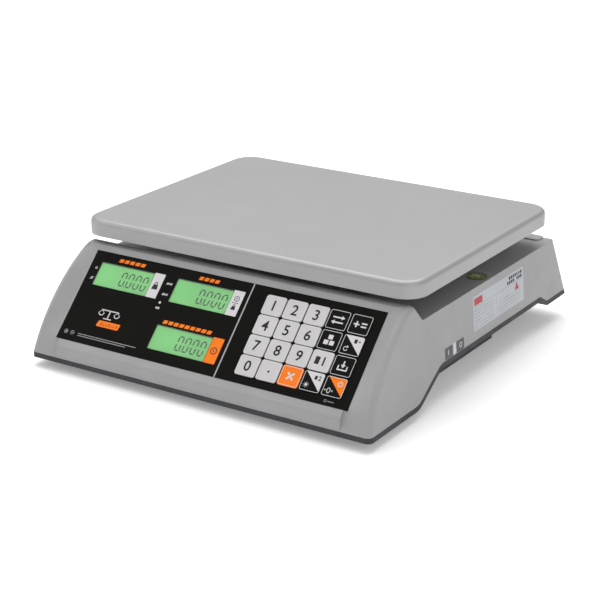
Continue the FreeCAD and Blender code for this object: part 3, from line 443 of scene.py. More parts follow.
class Palette:
    """Every finish of the scale, built once when first asked for."""

    housing = Moulded("light_grey_moulding", (0.33, 0.327, 0.333), 0.52, 0.3)
    base = Moulded("dark_grey_moulding", (0.036, 0.037, 0.042), 0.6, 0.3, 0.08, slot=Slot.BASE)
    black = Moulded("black_moulding", (0.012, 0.012, 0.012), 0.5, 0.3, 0.1)
    film = PolyFilm("black_film", (0.0075, 0.0072, 0.0062), 0.45, 0.03, 0.1)
    window = Pane("clear_window", (0.95, 0.98, 0.95), 0.12, 0.3)
    lcd = Backlit("green_display", (0.105, 0.42, 0.10), 0.35, 0.1)
    board = Laminate("green_board", (0.02, 0.11, 0.05), 0.4)
    pan = SatinSheet("satin_pan", (0.375, 0.375, 0.38), 0.5, 0.4, 0.015)
    cast = Metal("cast_aluminium", (0.6, 0.61, 0.62), 0.45)
    frame = Metal("galvanised_plate", (0.32, 0.33, 0.34), 0.42, 0.5, 0.12, 6.0, 0.01)
    fastener = Metal("zinc_plating", (0.5, 0.5, 0.51), 0.32, 0.5, 0.06, 0.5, 0.006, slot=Slot.FASTENER)
    brass = Metal("contact_brass", (0.72, 0.55, 0.28), 0.28, 0.5, 0.05, 0.6, 0.006)
    pad = Rubber("soft_pad", (0.03, 0.03, 0.03), 0.85, 0.3)
    foot = Rubber("foot_rubber", (0.022, 0.022, 0.023), 0.85, 0.3, slot=Slot.FOOT)
    cup = Moulded("olive_cup", (0.10, 0.125, 0.015), 0.4, 0.4, 0.1)
    fluid = Fluid("level_fluid", (0.34, 0.42, 0.03), 0.08, 0.5, 0.1)
    bubble = Fluid("level_bubble", (0.75, 0.82, 0.45), 0.05, 0.6, 0.05, slot=Slot.FLUID)
    battery = Moulded("battery_case", (0.08, 0.09, 0.1), 0.5)
    key_white = PolyFilm("white_key", (0.56, 0.545, 0.55), 0.4, 0.25, 0.03)
    key_black = PolyFilm("black_key", (0.008, 0.008, 0.0075), 0.42, 0.04, 0.1)
    key_orange = PolyFilm("orange_key", (0.88, 0.19, 0.006), 0.4, 0.25, 0.03)
    white = Print("white_ink", (0.62, 0.605, 0.61), 0.5, 0.25, 0.03, slot=Slot.KEY_WHITE)
    pale = Print("pale_grey_ink", (0.40, 0.395, 0.41), 0.5, 0.3, 0.03, slot=Slot.KEY_WHITE)
    grey = Print("grey_ink", (0.30, 0.30, 0.31), 0.5, 0.3, 0.03)
    dark = Print("dark_ink", (0.02, 0.02, 0.022), 0.5, 0.2, 0.08, slot=Slot.KEY_BLACK)
    orange = Print("orange_ink", (0.88, 0.19, 0.006), 0.5, 0.2, 0.04, slot=Slot.KEY_ORANGE)
    digit = Print("display_digit", (0.004, 0.034, 0.006), 0.5, 0.05, 0.08, slot=Slot.KEY_BLACK)
    # Painted shadow: dark green strips laid over the display glass along its upper and right edges,
    # standing in for the shade of the bezel.
    shadow = Print("display_edge", (0.03, 0.16, 0.04), 0.6, 0.1, 0.08, slot=Slot.KEY_BLACK)
    label = Print("label_foil", (0.42, 0.44, 0.47), 0.42, 0.4, 0.05)
    red = Print("red_ink", (0.42, 0.05, 0.06), 0.5, 0.3, 0.06, slot=Slot.KEY_ORANGE)
    slate = Print("slate_label", (0.085, 0.085, 0.095), 0.5, 0.3, 0.06, slot=Slot.BASE)

    def __init__(self) -> None:
        """Start with nothing built."""
        self._made: dict[str, Material] = {}

    def of(self, finish: Finish) -> Material:
        """The material of a finish, built at its first use.

        Args:
            finish: The finish.

        Returns:
            The material.
        """
        if finish.name not in self._made:
            self._made[finish.name] = finish.make()
        return self._made[finish.name]


# ------------------------------------------------------------------ shapes


def rounded(x0: float, y0: float, x1: float, y1: float, radius: float = 0.0,
            steps: int = 5) -> Loop:
    """Outline of a rectangle, anticlockwise, with round corners.

    Args:
        x0: Left side.
        y0: Lower side.
        x1: Right side.
        y1: Upper side.
        radius: Corner radius; zero gives sharp corners.
        steps: Points along each corner.

    Returns:
        The outline's points.
    """
    if radius <= 0:
        return [(x0, y0), (x1, y0), (x1, y1), (x0, y1)]
    loop: list[Point] = []
    corners = ((x1 - radius, y0 + radius, -90), (x1 - radius, y1 - radius, 0),
               (x0 + radius, y1 - radius, 90), (x0 + radius, y0 + radius, 180))
    for cx, cy, start in corners:
        for step in range(steps + 1):
            angle = math.radians(start + 90 * step / steps)
            loop.append((cx + radius * math.cos(angle), cy + radius * math.sin(angle)))
    return loop


def circle(x: float, y: float, radius: float, steps: int = 28) -> Loop:
    """Outline of a circle, anticlockwise."""
    turns = (2 * math.pi * step / steps for step in range(steps))
    return [(x + radius * math.cos(turn), y + radius * math.sin(turn)) for turn in turns]


def arc_band(x: float, y: float, radius: float, width: float, start: float, stop: float,
             steps: int = 26) -> Loop:
    """Outline of a part of a ring.

    Args:
        x: Middle of the ring.
        y: Middle of the ring.
        radius: Radius at the middle of the band.
        width: Width of the band.
        start: First angle in degrees.
        stop: Last angle in degrees.
        steps: Points along the band.

    Returns:
        The outline's points, anticlockwise.
    """
    turns = [math.radians(start + (stop - start) * step / steps) for step in range(steps + 1)]
    far, near = radius + width / 2, radius - width / 2
    outer = [(x + far * math.cos(turn), y + far * math.sin(turn)) for turn in turns]
    inner = [(x + near * math.cos(turn), y + near * math.sin(turn)) for turn in reversed(turns)]
    return outer + inner


def stroke(start: Point, stop: Point, width: float) -> Loop:
    """Outline of a straight stroke with square ends.

    Args:
        start: Middle of its first end.
        stop: Middle of its last end.
        width: Its width.

    Returns:
        The outline's points, anticlockwise.
    """
    run = Vector(stop) - Vector(start)
    side = Vector((-run.y, run.x)).normalized() * width / 2
    corners = (Vector(start) - side, Vector(stop) - side, Vector(stop) + side, Vector(start) + side)
    return [(corner.x, corner.y) for corner in corners]


def slanted(loop: Iterable[Point], slope: float, foot: float) -> Loop:
    """Lean an outline to the right, keeping its points at the height foot in place."""
    return [(x + (y - foot) * slope, y) for x, y in loop]


def turned(loop: Iterable[Point]) -> Loop:
    """Turn an outline half round the origin."""
    return [(-x, -y) for x, y in loop]


class Extent(NamedTuple):
    """How far a part or a window reaches on a face, in millimetres."""

    left: float
    low: float
    right: float
    high: float
    top: float


@dataclass(frozen=True)
class Plane:
    """A flat face of the scale with its own axes in millimetres."""

    origin: Vector
    along: Vector
    up: Vector

    @property
    def out(self) -> Vector:
        """The face's outward direction."""
        return self.along.cross(self.up).normalized()

    def matrix(self, at: Point = (0.0, 0.0), lift: float = 0.0) -> Matrix:
        """The move from local millimetres onto the face.

        Args:
            at: Where the local origin goes, on the face.
            lift: How far it stands off the face.

        Returns:
            The placement, which also turns millimetres into metres.
        """
        start = self.origin + (self.along * at[0] + self.up * at[1] + self.out * lift) * MM
        turn = Matrix((self.along, self.up, self.out)).transposed().to_4x4()
        return Matrix.Translation(start) @ turn @ Matrix.Scale(MM, 4)

    def extent(self, node: Piece) -> Extent:
        """How far a part reaches on this face.

        Args:
            node: The part.

        Returns:
            Its limits along and up the face, and its highest place off it.
        """
        offsets = [(vertex.co - self.origin) / MM for vertex in node.data.vertices]
        across = [offset.dot(self.along) for offset in offsets]
        upward = [offset.dot(self.up) for offset in offsets]
        outward = [offset.dot(self.out) for offset in offsets]
        return Extent(min(across), min(upward), max(across), max(upward), max(outward))


def solid_boxes(node: Piece) -> list[tuple[Vector, Vector]]:
    """The box of each separate solid in a part.

    Args:
        node: The part; its own mesh is left alone.

    Returns:
        Pairs of lowest and highest corner, in metres.
    """
    work = bmesh.new()
    work.from_mesh(node.data)
    bmesh.ops.remove_doubles(work, verts=work.verts, dist=1e-6)
    left = set(work.verts)
    boxes = []
    while left:
        front = [left.pop()]
        found = []
        while front:
            vertex = front.pop()
            found.append(vertex.co.copy())
            near = {edge.other_vert(vertex) for edge in vertex.link_edges} & left
            left -= near
            front.extend(near)
        low = Vector(min(co[axis] for co in found) for axis in range(3))
        high = Vector(max(co[axis] for co in found) for axis in range(3))
        boxes.append((low, high))
    work.free()
    return boxes


class Artwork:
    """Flat shapes in one ink, gathered as closed thin solids in millimetres."""

    def __init__(self, thickness: float = INK) -> None:
        """Start empty, with the ink's thickness in mm."""
        self.thickness = thickness
        self.work = bmesh.new()

    def plate(self, *loops: Loop) -> "Artwork":
        """Add filled outlines.

        Args:
            loops: The outlines, anticlockwise.

        Returns:
            The artwork.
        """
        for loop in loops:
            low = [self.work.verts.new((x, y, 0.0)) for x, y in loop]
            top = [self.work.verts.new((x, y, self.thickness)) for x, y in loop]
            self.work.faces.new(list(reversed(low)))
            self.work.faces.new(top)
            self._wall(low, top)
        return self

    def boxes(self, boxes: Iterable[Box], corner: float = 0.0) -> "Artwork":
        """Add rectangles, given by their left, lower, right and upper sides."""
        return self.plate(*(rounded(*box, corner, 3) for box in boxes))

    def ring(self, at: Point, outer: float, inner: float, steps: int = 20) -> "Artwork":
        """Add a ring, given by its two radii."""
        return self.band(circle(*at, outer, steps), circle(*at, inner, steps))

    def band(self, outer: Loop, inner: Loop) -> "Artwork":
        """Add the area between two outlines.

        Args:
            outer: The outer outline.
            inner: The inner one, with the same number of points.

        Returns:
            The artwork.
        """
        rings = [[self.work.verts.new((x, y, z)) for x, y in loop]
                 for loop in (outer, inner) for z in (0.0, self.thickness)]
        outer_low, outer_top, inner_low, inner_top = rings
        self._wall(outer_low, outer_top)
        self._wall(inner_top, inner_low)
        self._wall(outer_top, inner_top)
        self._wall(inner_low, outer_low)
        return self

    def _wall(self, first: Sequence[bmesh.types.BMVert], second: Sequence[bmesh.types.BMVert]) -> None:
        """Join two rings of points by a band of faces.

        Args:
            first: The first ring.
            second: The second one, with the same number of points.
        """
        count = len(first)
        for index in range(count):
            following = (index + 1) % count
            self.work.faces.new((first[index], first[following], second[following], second[index]))

    def figure(self, text: str, at: Point, height: float, weight: float = 0.0) -> "Artwork":
        """Add numerals.

        Args:
            text: The numerals.
            at: Their middle.
            height: Height of the figures, mm.
            weight: How far the strokes are fattened, as a share of the letter size.

        Returns:
            The artwork.
        """
        curve = bpy.data.curves.new("figure", "FONT")
        curve.body = text
        curve.extrude = 0.5
        curve.offset = weight
        curve.resolution_u = 5
        holder = bpy.data.objects.new("figure", curve)
        bpy.context.scene.collection.objects.link(holder)
        graph = bpy.context.evaluated_depsgraph_get()
        mesh = bpy.data.meshes.new_from_object(holder.evaluated_get(graph))
        bpy.data.objects.remove(holder)
        xs = [vertex.co.x for vertex in mesh.vertices]
        ys = [vertex.co.y for vertex in mesh.vertices]
        scale = height / (max(ys) - min(ys))
        middle = Vector((-(min(xs) + max(xs)) / 2, -(min(ys) + max(ys)) / 2, 0.5))
        size = Matrix.Diagonal((scale, scale, self.thickness, 1.0))
        mesh.transform(Matrix.Translation((*at, 0.0)) @ size @ Matrix.Translation(middle))
        part = bmesh.new()
        part.from_mesh(mesh)
        bmesh.ops.remove_doubles(part, verts=part.verts, dist=1e-4)
        part.to_mesh(mesh)
        part.free()
        self.work.from_mesh(mesh)
        bpy.data.meshes.remove(mesh)
        return self

    def mesh(self, name: str, placement: Matrix) -> Mesh:
        """Finish the mesh; nothing can be added afterwards.

        Args:
            name: Name of the mesh.
            placement: The move onto its face.

        Returns:
            The mesh, in metres.
        """
        bmesh.ops.recalc_face_normals(self.work, faces=self.work.faces)
        made = bpy.data.meshes.new(name)
        self.work.to_mesh(made)
        self.work.free()
        made.transform(placement)
        return made


class Rule:
    """A geometry node tree with named size inputs that makes repeated shapes."""

    def __init__(self, name: str) -> None:
        """Start a tree that takes and gives a mesh.

        Args:
            name: Name of the tree.
        """
        self.group = bpy.data.node_groups.new(name, "GeometryNodeTree")
        face = self.group.interface
        face.new_socket("Geometry", in_out="INPUT", socket_type="NodeSocketGeometry")
        face.new_socket("Geometry", in_out="OUTPUT", socket_type="NodeSocketGeometry")
        self.start = self.group.nodes.new("NodeGroupInput")
        self.end = self.group.nodes.new("NodeGroupOutput")
        self.keys: dict[str, str] = {}

    def size(self, name: str, value: float, whole: bool = False) -> Socket:
        """Add a named input.

        Args:
            name: Name of the input.
            value: Its usual value.
            whole: Whether it is a whole number.

        Returns:
            The socket that carries it inside the tree.
        """
        kind = "NodeSocketInt" if whole else "NodeSocketFloat"
        item = self.group.interface.new_socket(name, in_out="INPUT", socket_type=kind)
        item.default_value = value
        self.keys[name] = item.identifier
        return self.start.outputs[name]

    def sizes(self, **values: float) -> list[Socket]:
        """Add a named input for each value; a whole number gets a whole input."""
        return [self.size(name.replace("_", " ").title(), value, isinstance(value, int))
                for name, value in values.items()]

    def node(self, kind: str, inputs: dict | None = None, **settings: object) -> bpy.types.Node:
        """Add a node.

        Args:
            kind: The node's type.
            inputs: Values or sockets for its inputs, by name or place.
            settings: The node's own options.

        Returns:
            The node.
        """
        made = self.group.nodes.new(kind)
        for key, value in settings.items():
            setattr(made, key, value)
        for key, value in (inputs or {}).items():
            if isinstance(value, Socket):
                self.group.links.new(value, made.inputs[key])
            else:
                made.inputs[key].default_value = value
        return made

    def math(self, operation: str, first: object, second: object = 0.0) -> Socket:
        """The result of a sum on two values or sockets."""
        return self.node("ShaderNodeMath", {0: first, 1: second}, operation=operation).outputs[0]

    def times(self, first: object, second: object) -> Socket:
        """The product of two values or sockets."""
        return self.math("MULTIPLY", first, second)

    def less(self, first: object, second: object) -> Socket:
        """The first value or socket less the second."""
        return self.math("SUBTRACT", first, second)

    def place(self) -> Sequence[Socket]:
        """The three parts of a point's place."""
        point = self.node("GeometryNodeInputPosition").outputs[0]
        return self.node("ShaderNodeSeparateXYZ", {0: point}).outputs

    def copies(self, points: Socket, shape: Socket, inputs: dict | None = None) -> Socket:
        """Copies of a shape on points, with more inputs of the copying node."""
        every = {"Points": points, "Instance": shape, **(inputs or {})}
        return self.node("GeometryNodeInstanceOnPoints", every).outputs[0]

    def vector(self, x: object = 0.0, y: object = 0.0, z: object = 0.0) -> Socket:
        """A vector of three values or sockets."""
        return self.node("ShaderNodeCombineXYZ", {0: x, 1: y, 2: z}).outputs[0]

    def moved(self, shape: Socket, offset: object = (0, 0, 0), turn: object = (0, 0, 0),
              scale: object = (1, 1, 1)) -> Socket:
        """A shape scaled, turned by angles in radians, and moved by an offset."""
        inputs = {"Geometry": shape, "Translation": offset, "Rotation": turn, "Scale": scale}
        return self.node("GeometryNodeTransform", inputs).outputs[0]

    def joined(self, shapes: Iterable[Socket]) -> Socket:
        """Join several shapes.

        Args:
            shapes: Their sockets.

        Returns:
            The socket of them all.
        """
        join = self.node("GeometryNodeJoinGeometry")
        for shape in shapes:
            self.group.links.new(shape, join.inputs[0])
        return join.outputs[0]

    def finish(self, shape: Socket, material: Material) -> None:
        """End the tree: make the copies real and give them their material.

        Args:
            shape: The socket of all the shapes.
            material: Their material.
        """
        real = self.node("GeometryNodeRealizeInstances", {"Geometry": shape}).outputs[0]
        dressed = self.node("GeometryNodeSetMaterial", {"Geometry": real, "Material": material})
        self.group.links.new(dressed.outputs[0], self.end.inputs[0])

    def mesh(self, name: str, placement: Matrix, sizes: dict[str, float] | None = None,
             places: Sequence[Sequence[float]] = ()) -> Mesh:
        """Run the tree once and keep the result as a plain mesh.

        Args:
            name: Name of the mesh.
            placement: Where the result goes.
            sizes: Values for the named inputs.
            places: Points that the tree takes as its mesh.

        Returns:
            The mesh.
        """
        seed = bpy.data.meshes.new(name)
        seed.from_pydata([tuple(place) for place in places], [], [])
        holder = bpy.data.objects.new(name, seed)
        modifier = holder.modifiers.new("rule", "NODES")
        modifier.node_group = self.group
        for key, value in (sizes or {}).items():
            modifier[self.keys[key]] = value
        bpy.context.scene.collection.objects.link(holder)
        graph = bpy.context.evaluated_depsgraph_get()
        made = bpy.data.meshes.new_from_object(holder.evaluated_get(graph))
        holder.modifiers.remove(modifier)
        bpy.data.objects.remove(holder)
        made.transform(placement)
        made.name = name
        return made

class Workshop:
    """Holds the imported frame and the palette, and fits pieces to the scale."""

    def __init__(self, frame: dict) -> None:
        """Keep the frame and start the palette.

        Args:
            frame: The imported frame, as loaded.
        """
        self.nodes: dict[str, Piece] = frame["nodes"]
        self.joints: dict[str, dict] = {joint["name"]: joint for joint in frame["joints"]}
        self.palette = Palette()

    def dress(self, finish: Finish, *names: str) -> None:
        """Give parts of the frame a finish.

        Args:
            finish: The finish.
            names: The parts.
        """
        for name in names:
            node = self.nodes[name]
            if not node.material_slots:
                node.data.materials.append(None)
            for slot in node.material_slots:
                slot.material = self.palette.of(finish)
            LOG.info("dressed %s in %s", name, finish.name)

    def fit(self, name: str, mesh: Mesh, finish: Finish, body: str = Body.CASE.value,
            slot: Slot | None = None, smooth: bool = False) -> Piece:
        """Make a piece of a mesh and let it ride on a body.

        Args:
            name: Name of the piece.
            mesh: Its mesh, already in place.
            finish: Its finish.
            body: The body it moves with.
            slot: The record's finish it belongs to, where it isn't its own finish's; not used.
            smooth: Whether its faces blend into each other.

        Returns:
            The piece.
        """
        slot = slot or finish.slot
        mesh.materials.clear()
        mesh.materials.append(self.palette.of(finish))
        for face in mesh.polygons:
            face.use_smooth = smooth
        piece = bpy.data.objects.new(name, mesh)
        bpy.context.scene.collection.objects.link(piece)
        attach(piece, body)
        LOG.info("fitted %s on %s: %d faces", name, body, len(mesh.polygons))
        return piece


@dataclass
class Assembly:
    """A sub-assembly; most of them lay pieces on one face of the scale."""

    shop: Workshop

    @property
    def look(self) -> Palette:
        """The palette."""
        return self.shop.palette

    @cached_property
    def plane(self) -> Plane:
        """The face that its pieces lie on."""
        raise NotImplementedError

    def lay(self, name: str, art: Artwork, finish: Finish, lift: float = 0.0,
            at: Point = (0.0, 0.0), body: str = Body.CASE.value) -> Piece:
        """Lay artwork on the face.

        Args:
            name: Name of the piece.
            art: The artwork.
            finish: Its ink.
            lift: How far it stands off the face, mm.
            at: Where its origin goes on the face.
            body: The body it moves with.

        Returns:
            The piece.
        """
        return self.shop.fit(name, art.mesh(name, self.plane.matrix(at, lift)), finish, body)


# ------------------------------------------------------------------ displays


@dataclass
class Readout:
    """Four figures of seven strokes each, all showing nought, with a point."""

    count: int = 4
    pitch: float = 7.35
    width: float = 5.5
    height: float = 13.4
    weight: float = 1.3
    slope: float = 0.06
    depth: float = 0.03
    margin: float = 3.4
    foot: float = 3.6
    post_at: float = 0.26
    tip_pinch: float = 0.8

    @property
    def reach(self) -> float:
        """Width of all the figures, mm."""
        return self.pitch * (self.count - 1) + self.width

    def rule(self, material: Material) -> Rule:
        """Build the tree that draws the figures from their lower left corner.

        Args:
            material: The digits' material.

        Returns:
            The tree.
        """
        rule = Rule("readout")
        count, pitch, width, height, weight, slope, depth = rule.sizes(
            count=self.count, pitch=self.pitch, width=self.width, height=self.height,
            stroke=self.weight, slope=self.slope, depth=self.depth)
        flat = rule.less(width, rule.times(weight, 1.25))
        tall = rule.less(rule.times(height, 0.5), rule.times(weight, 1.5))
        bar = self._bar(rule, flat, weight, depth)
        post = rule.moved(self._bar(rule, tall, weight, depth), turn=QUARTER_TURN)
        left = low_bar = rule.times(weight, 0.5)
        right, high_bar = rule.less(width, left), rule.less(height, left)
        middle = rule.times(width, 0.5)
        low, high = (rule.times(height, share) for share in (self.post_at, 1 - self.post_at))
        spots = [(bar, middle, low_bar), (bar, middle, high_bar), (post, left, low),
                 (post, right, low), (post, left, high), (post, right, high)]
        figure = rule.joined(rule.moved(shape, rule.vector(x, y)) for shape, x, y in spots)
        line = rule.node("GeometryNodeMeshLine", {"Count": count, "Offset": rule.vector(pitch)})
        row = rule.copies(line.outputs[0], figure)
        dot = rule.node("GeometryNodeMeshCylinder", {"Vertices": 10, "Radius": left, "Depth": depth})
        gap = rule.times(rule.math("ADD", pitch, width), 0.5)
        point = rule.moved(dot.outputs["Mesh"], rule.vector(gap, low_bar))
        real = rule.node("GeometryNodeRealizeInstances", {"Geometry": rule.joined((row, point))})
        lean = rule.vector(rule.times(rule.place()[1], slope))
        inputs = {"Geometry": real.outputs[0], "Offset": lean}
        rule.finish(rule.node("GeometryNodeSetPosition", inputs).outputs[0], material)
        return rule

    def _bar(self, rule: Rule, length: Socket, weight: Socket, depth: Socket) -> Socket:
        """A stroke with pointed ends, centred on its origin.

        Args:
            rule: The tree it is drawn in.
            length: Its length.
            weight: Its width.
            depth: Its thickness.

        Returns:
            The stroke's socket.
        """
        size = rule.vector(length, weight, depth)
        block = rule.node("GeometryNodeMeshCube", {"Size": size, "Vertices X": 4})
        x, y, z = rule.place()
        end = rule.math("GREATER_THAN", rule.math("ABSOLUTE", x), rule.times(length, 0.4))
        inner = rule.less(3.0, rule.times(rule.math("DIVIDE", weight, length), 3.0))
        stretch = rule.less(inner, rule.times(end, rule.less(inner, 1.0)))
        pinch = rule.less(1.0, rule.times(end, self.tip_pinch))
        place = rule.vector(rule.times(x, stretch), rule.times(y, pinch), z)
        inputs = {"Geometry": block.outputs["Mesh"], "Position": place}
        return rule.node("GeometryNodeSetPosition", inputs).outputs[0]

    def corner(self, window: Extent) -> Point:
        """Where the figures start in a window, so that they end near its right side."""
        lean = self.slope * self.height / 2
        return window.right - self.margin - self.reach - lean, window.low + self.foot


@dataclass
class PrintLines:
    """Rows of short dashes that stand for small print."""

    columns: int = 8
    rows: int = 3
    pitch: float = 2.4
    leading: float = 1.6
    height: float = 0.6
    seed: int = 3
    shortest: float = 0.45
    longest: float = 0.9
    kept: float = 0.86

    def rule(self, material: Material) -> Rule:
        """Build the tree that scatters dashes of uneven length over a grid.

        Args:
            material: The dashes' material.

        Returns:
            The tree.
        """
        rule = Rule("print_lines")
        columns, rows, pitch, leading, height, seed = rule.sizes(
            columns=self.columns, rows=self.rows, pitch=self.pitch, leading=self.leading,
            height=self.height, seed=self.seed)
        grid = rule.node("GeometryNodeMeshGrid", {
            "Size X": rule.times(pitch, rule.less(columns, 1.0)),
            "Size Y": rule.times(leading, rule.less(rows, 1.0)),
            "Vertices X": columns, "Vertices Y": rows})
        dash = rule.node("GeometryNodeMeshCube", {"Size": rule.vector(pitch, height, INK)})
        spread = {2: self.shortest, 3: self.longest, "Seed": seed}
        length = rule.node("FunctionNodeRandomValue", spread, data_type="FLOAT").outputs[1]
        chance = {"Probability": self.kept, "Seed": seed}
        kept = rule.node("FunctionNodeRandomValue", chance, data_type="BOOLEAN").outputs[3]
        row = rule.copies(grid.outputs["Mesh"], dash.outputs["Mesh"],
                          {"Selection": kept, "Scale": rule.vector(length, 1.0, 1.0)})
        rule.finish(row, material)
        return rule


@dataclass(frozen=True)
class UnitMark:
    """Pictogram of what a display counts: weight, price of a weight, or total."""

    body: float = 2.9
    top_share: float = 0.7
    loop: float = 1.3
    coin: float = 3.1
    coin_hole: float = 0.77
    stroke_share: float = 0.42

    def draw(self, kind: str, x: float, y: float) -> Artwork:
        """The pictogram of a display.

        Args:
            kind: mass, price or total.
            x: Its middle.
            y: Its middle.

        Returns:
            The artwork.
        """
        art = Artwork()
        if kind == "mass":
            return self._weight(art, x, y, 1.0)
        if kind == "total":
            return self._coin(art, x, y, 1.0)
        art.plate(stroke((x - self.body, y + 0.4), (x + self.body, y + 0.4), 0.5))
        return self._weight(self._coin(art, x, y + 4.2, 0.78), x, y - 3.4, 0.72)

    def _weight(self, art: Artwork, x: float, y: float, size: float) -> Artwork:
        """Add a kettle weight: a tapered block under a loop.

        Args:
            art: The artwork to add to.
            x: Its middle.
            y: Its middle.
            size: Its scale.

        Returns:
            The artwork.
        """
        wide, narrow = self.body * size, self.body * self.top_share * size
        low, top = y - 3.2 * size, y + 1.2 * size
        art.plate([(x - wide, low), (x + wide, low), (x + narrow, top), (x - narrow, top)])
        return art.plate(arc_band(x, y + 2.0 * size, self.loop * size, 0.7 * size, -38, 218))

    def _coin(self, art: Artwork, x: float, y: float, size: float) -> Artwork:
        """Add a coin: a ring round an upright stroke.

        Args:
            art: The artwork to add to.
            x: Its middle.
            y: Its middle.
            size: Its scale.

        Returns:
            The artwork.
        """
        radius = self.coin * size
        half = self.stroke_share * radius
        art.ring((x, y), radius, radius * self.coin_hole, 28)
        return art.plate(stroke((x, y - half), (x, y + half), 0.8 * size))


@dataclass
class DisplayFilm(Assembly):
    """A film with displays behind it: digits, unit tags and title blocks."""

    tag_width: float = 10.6
    tag_gap: float = 0.35
    tag_below: float = 0.1
    tag_above: float = 0.5
    title_height: float = 3.2
    title_slope: float = 0.28
    title_gap: float = 1.3
    readout: Readout = field(default_factory=Readout)

    @cached_property
    def figures(self) -> Rule:
        """The tree that draws the figures."""
        return self.readout.rule(self.look.of(self.look.digit))

    def _digits(self, name: str, window: Extent) -> None:
        """Set the figures on a display's glass.

        Args:
            name: Name of the display.
            window: The visible window, with the glass as its top.
        """
        lift = window.top + self.readout.depth / 2 + CLEAR
        place = self.plane.matrix(self.readout.corner(window), lift)
        self.shop.fit(f"{name}_digits", self.figures.mesh(f"{name}_digits", place), self.look.digit)

    def _tag(self, name: str, kind: str, window: Extent) -> None:
        """Print the unit tag at a window's right side.

        Args:
            name: Name of the display.
            kind: What it counts.
            window: The visible window.
        """
        left, low = window.right + self.tag_gap, window.low - self.tag_below
        tag = rounded(left, low, left + self.tag_width, window.high + self.tag_above, 0.3)
        paper = self.look.orange if kind == "total" else self.look.white
        self.lay(f"{name}_tag", Artwork().plate(tag), paper)
        unit = UnitMark().draw(kind, left + self.tag_width / 2, (window.low + window.high) / 2)
        self.lay(f"{name}_unit", unit, self.look.dark, INK)

    def _title(self, name: str, x: float, foot: float, count: int, pitch: float) -> None:
        """Print a row of slanted blocks where a display's title stands.

        Args:
            name: Name of the display.
            x: Left side of the row.
            foot: Its lower side.
            count: How many blocks it has.
            pitch: Their distance.
        """
        art = Artwork()
        for index in range(count):
            start = x + index * pitch
            block = rounded(start, foot, start + pitch - self.title_gap, foot + self.title_height, 0.4, 3)
            art.plate(slanted(block, self.title_slope, foot))
        self.lay(f"{name}_title", art, self.look.orange)


# ------------------------------------------------------------------ front panel


@dataclass(frozen=True)
class PanelPrint:
    """The small marks of the front film, in millimetres from its lower middle."""

    ring_at: Point = (-134.6, 68.1)
    wave_at: Point = (-134.7, 58.4)
    wave_half: float = 1.3
    wave_steps: tuple[float, ...] = (-0.8, 0.1, 1.0)
    tick_from: float = -60.4
    tick_heights: tuple[float, ...] = (68.0, 58.2)
    tick_widths: tuple[float, ...] = (1.3, 0.9, 1.3)
    tick_pitch: float = 1.9
    tick_half: float = 0.9
    spots: tuple[tuple[float, ...], ...] = ((-59.0, 50.4, 1.15, 20), (-59.9, 45.4, 0.95, 18))
    block: Box = (-58.6, 44.4, -57.2, 46.4)
    balance_at: Point = (-101.0, 30.0)
    pan_at: float = 8.0
    badge: Box = (-109.0, 17.9, -86.5, 23.4)
    badge_slope: float = 0.2
    scale_at: Point = (-105.2, 19.3)
    scale_pitch: float = 2.6
    scale_tick: float = 0.6
    lines: tuple[Box, ...] = ((-122.0, 7.4, -62.0, 8.0), (-122.0, 5.6, -72.0, 6.2))
    rounds: tuple[Point, ...] = ((-134.5, 7.4), (-128.0, 7.4))
    square: Box = (-135.3, 6.6, -133.7, 8.2)
    bar: tuple[Point, Point] = ((-129.0, 7.4), (-127.0, 7.4))
    last_ring: Point = (120.4, 3.6)
    dashes: tuple[Box, ...] = (
        (122.6, 3.2, 124.0, 3.9), (124.4, 3.2, 126.6, 3.9), (127.0, 3.2, 128.0, 3.9))

    def indicators(self) -> Artwork:
        """Small marks beside the displays."""
        art = Artwork().ring(self.ring_at, 1.1, 0.65)
        x, y = self.wave_at
        for step in self.wave_steps:
            middle, height = x + step * 0.4, y + step
            art.plate(stroke((middle - self.wave_half, height), (middle + self.wave_half, height), 0.45))
        for height in self.tick_heights:
            for step, wide in enumerate(self.tick_widths):
                start = self.tick_from + step * self.tick_pitch
                tick = rounded(start, height - self.tick_half, start + wide, height + self.tick_half)
                art.plate(slanted(tick, 0.25, height))
        return art.plate(*(circle(*spot) for spot in self.spots), rounded(*self.block, 0.5, 3))

    def balance(self) -> Artwork:
        """A plain balance: a post on its foot, a beam in two halves and two hung pans."""
        x, y = self.balance_at
        post, foot = (x - 0.55, y - 4.0, x + 0.55, y + 3.6), (x - 4.2, y - 4.9, x + 4.2, y - 4.0)
        art = Artwork().boxes([post]).boxes([foot], 0.4)
        art.boxes([(x - 9.0, y + 2.6, x - 0.8, y + 3.5), (x + 0.8, y + 2.6, x + 9.0, y + 3.5)], 0.3)
        for middle in (x - self.pan_at, x + self.pan_at):
            art.plate(arc_band(middle, y + 0.6, 2.6, 0.8, 180, 360))
            for end in (middle - 2.3, middle + 2.3):
                art.plate(stroke((middle, y + 2.5), (end, y + 0.8), 0.4))
        return art

    def badge_scale(self) -> Artwork:
        """Long and short ticks on the badge."""
        art = Artwork()
        left, foot = self.scale_at
        for index in range(7):
            start = left + index * self.scale_pitch
            tall = 1.5 if index % 3 else 2.6
            art.plate(self._leaning((start, foot, start + self.scale_tick, foot + tall)))
        return art

    def badge_field(self) -> Artwork:
        """The badge itself."""
        return Artwork().plate(self._leaning(self.badge, 1.0))

    def _leaning(self, box: Box, corner: float = 0.0) -> Loop:
        """A rectangle that leans as the badge does."""
        return slanted(rounded(*box, corner), self.badge_slope, self.badge[1])

    def small_print(self) -> Artwork:
        """Two lines, two round marks, and the ring and dashes below the last key."""
        art = Artwork().boxes(self.lines).boxes([self.square], 0.3).plate(stroke(*self.bar, 0.5))
        for at in self.rounds:
            art.ring(at, 1.9, 1.45, 24)
        return art.ring(self.last_ring, 1.25, 0.85).boxes(self.dashes)


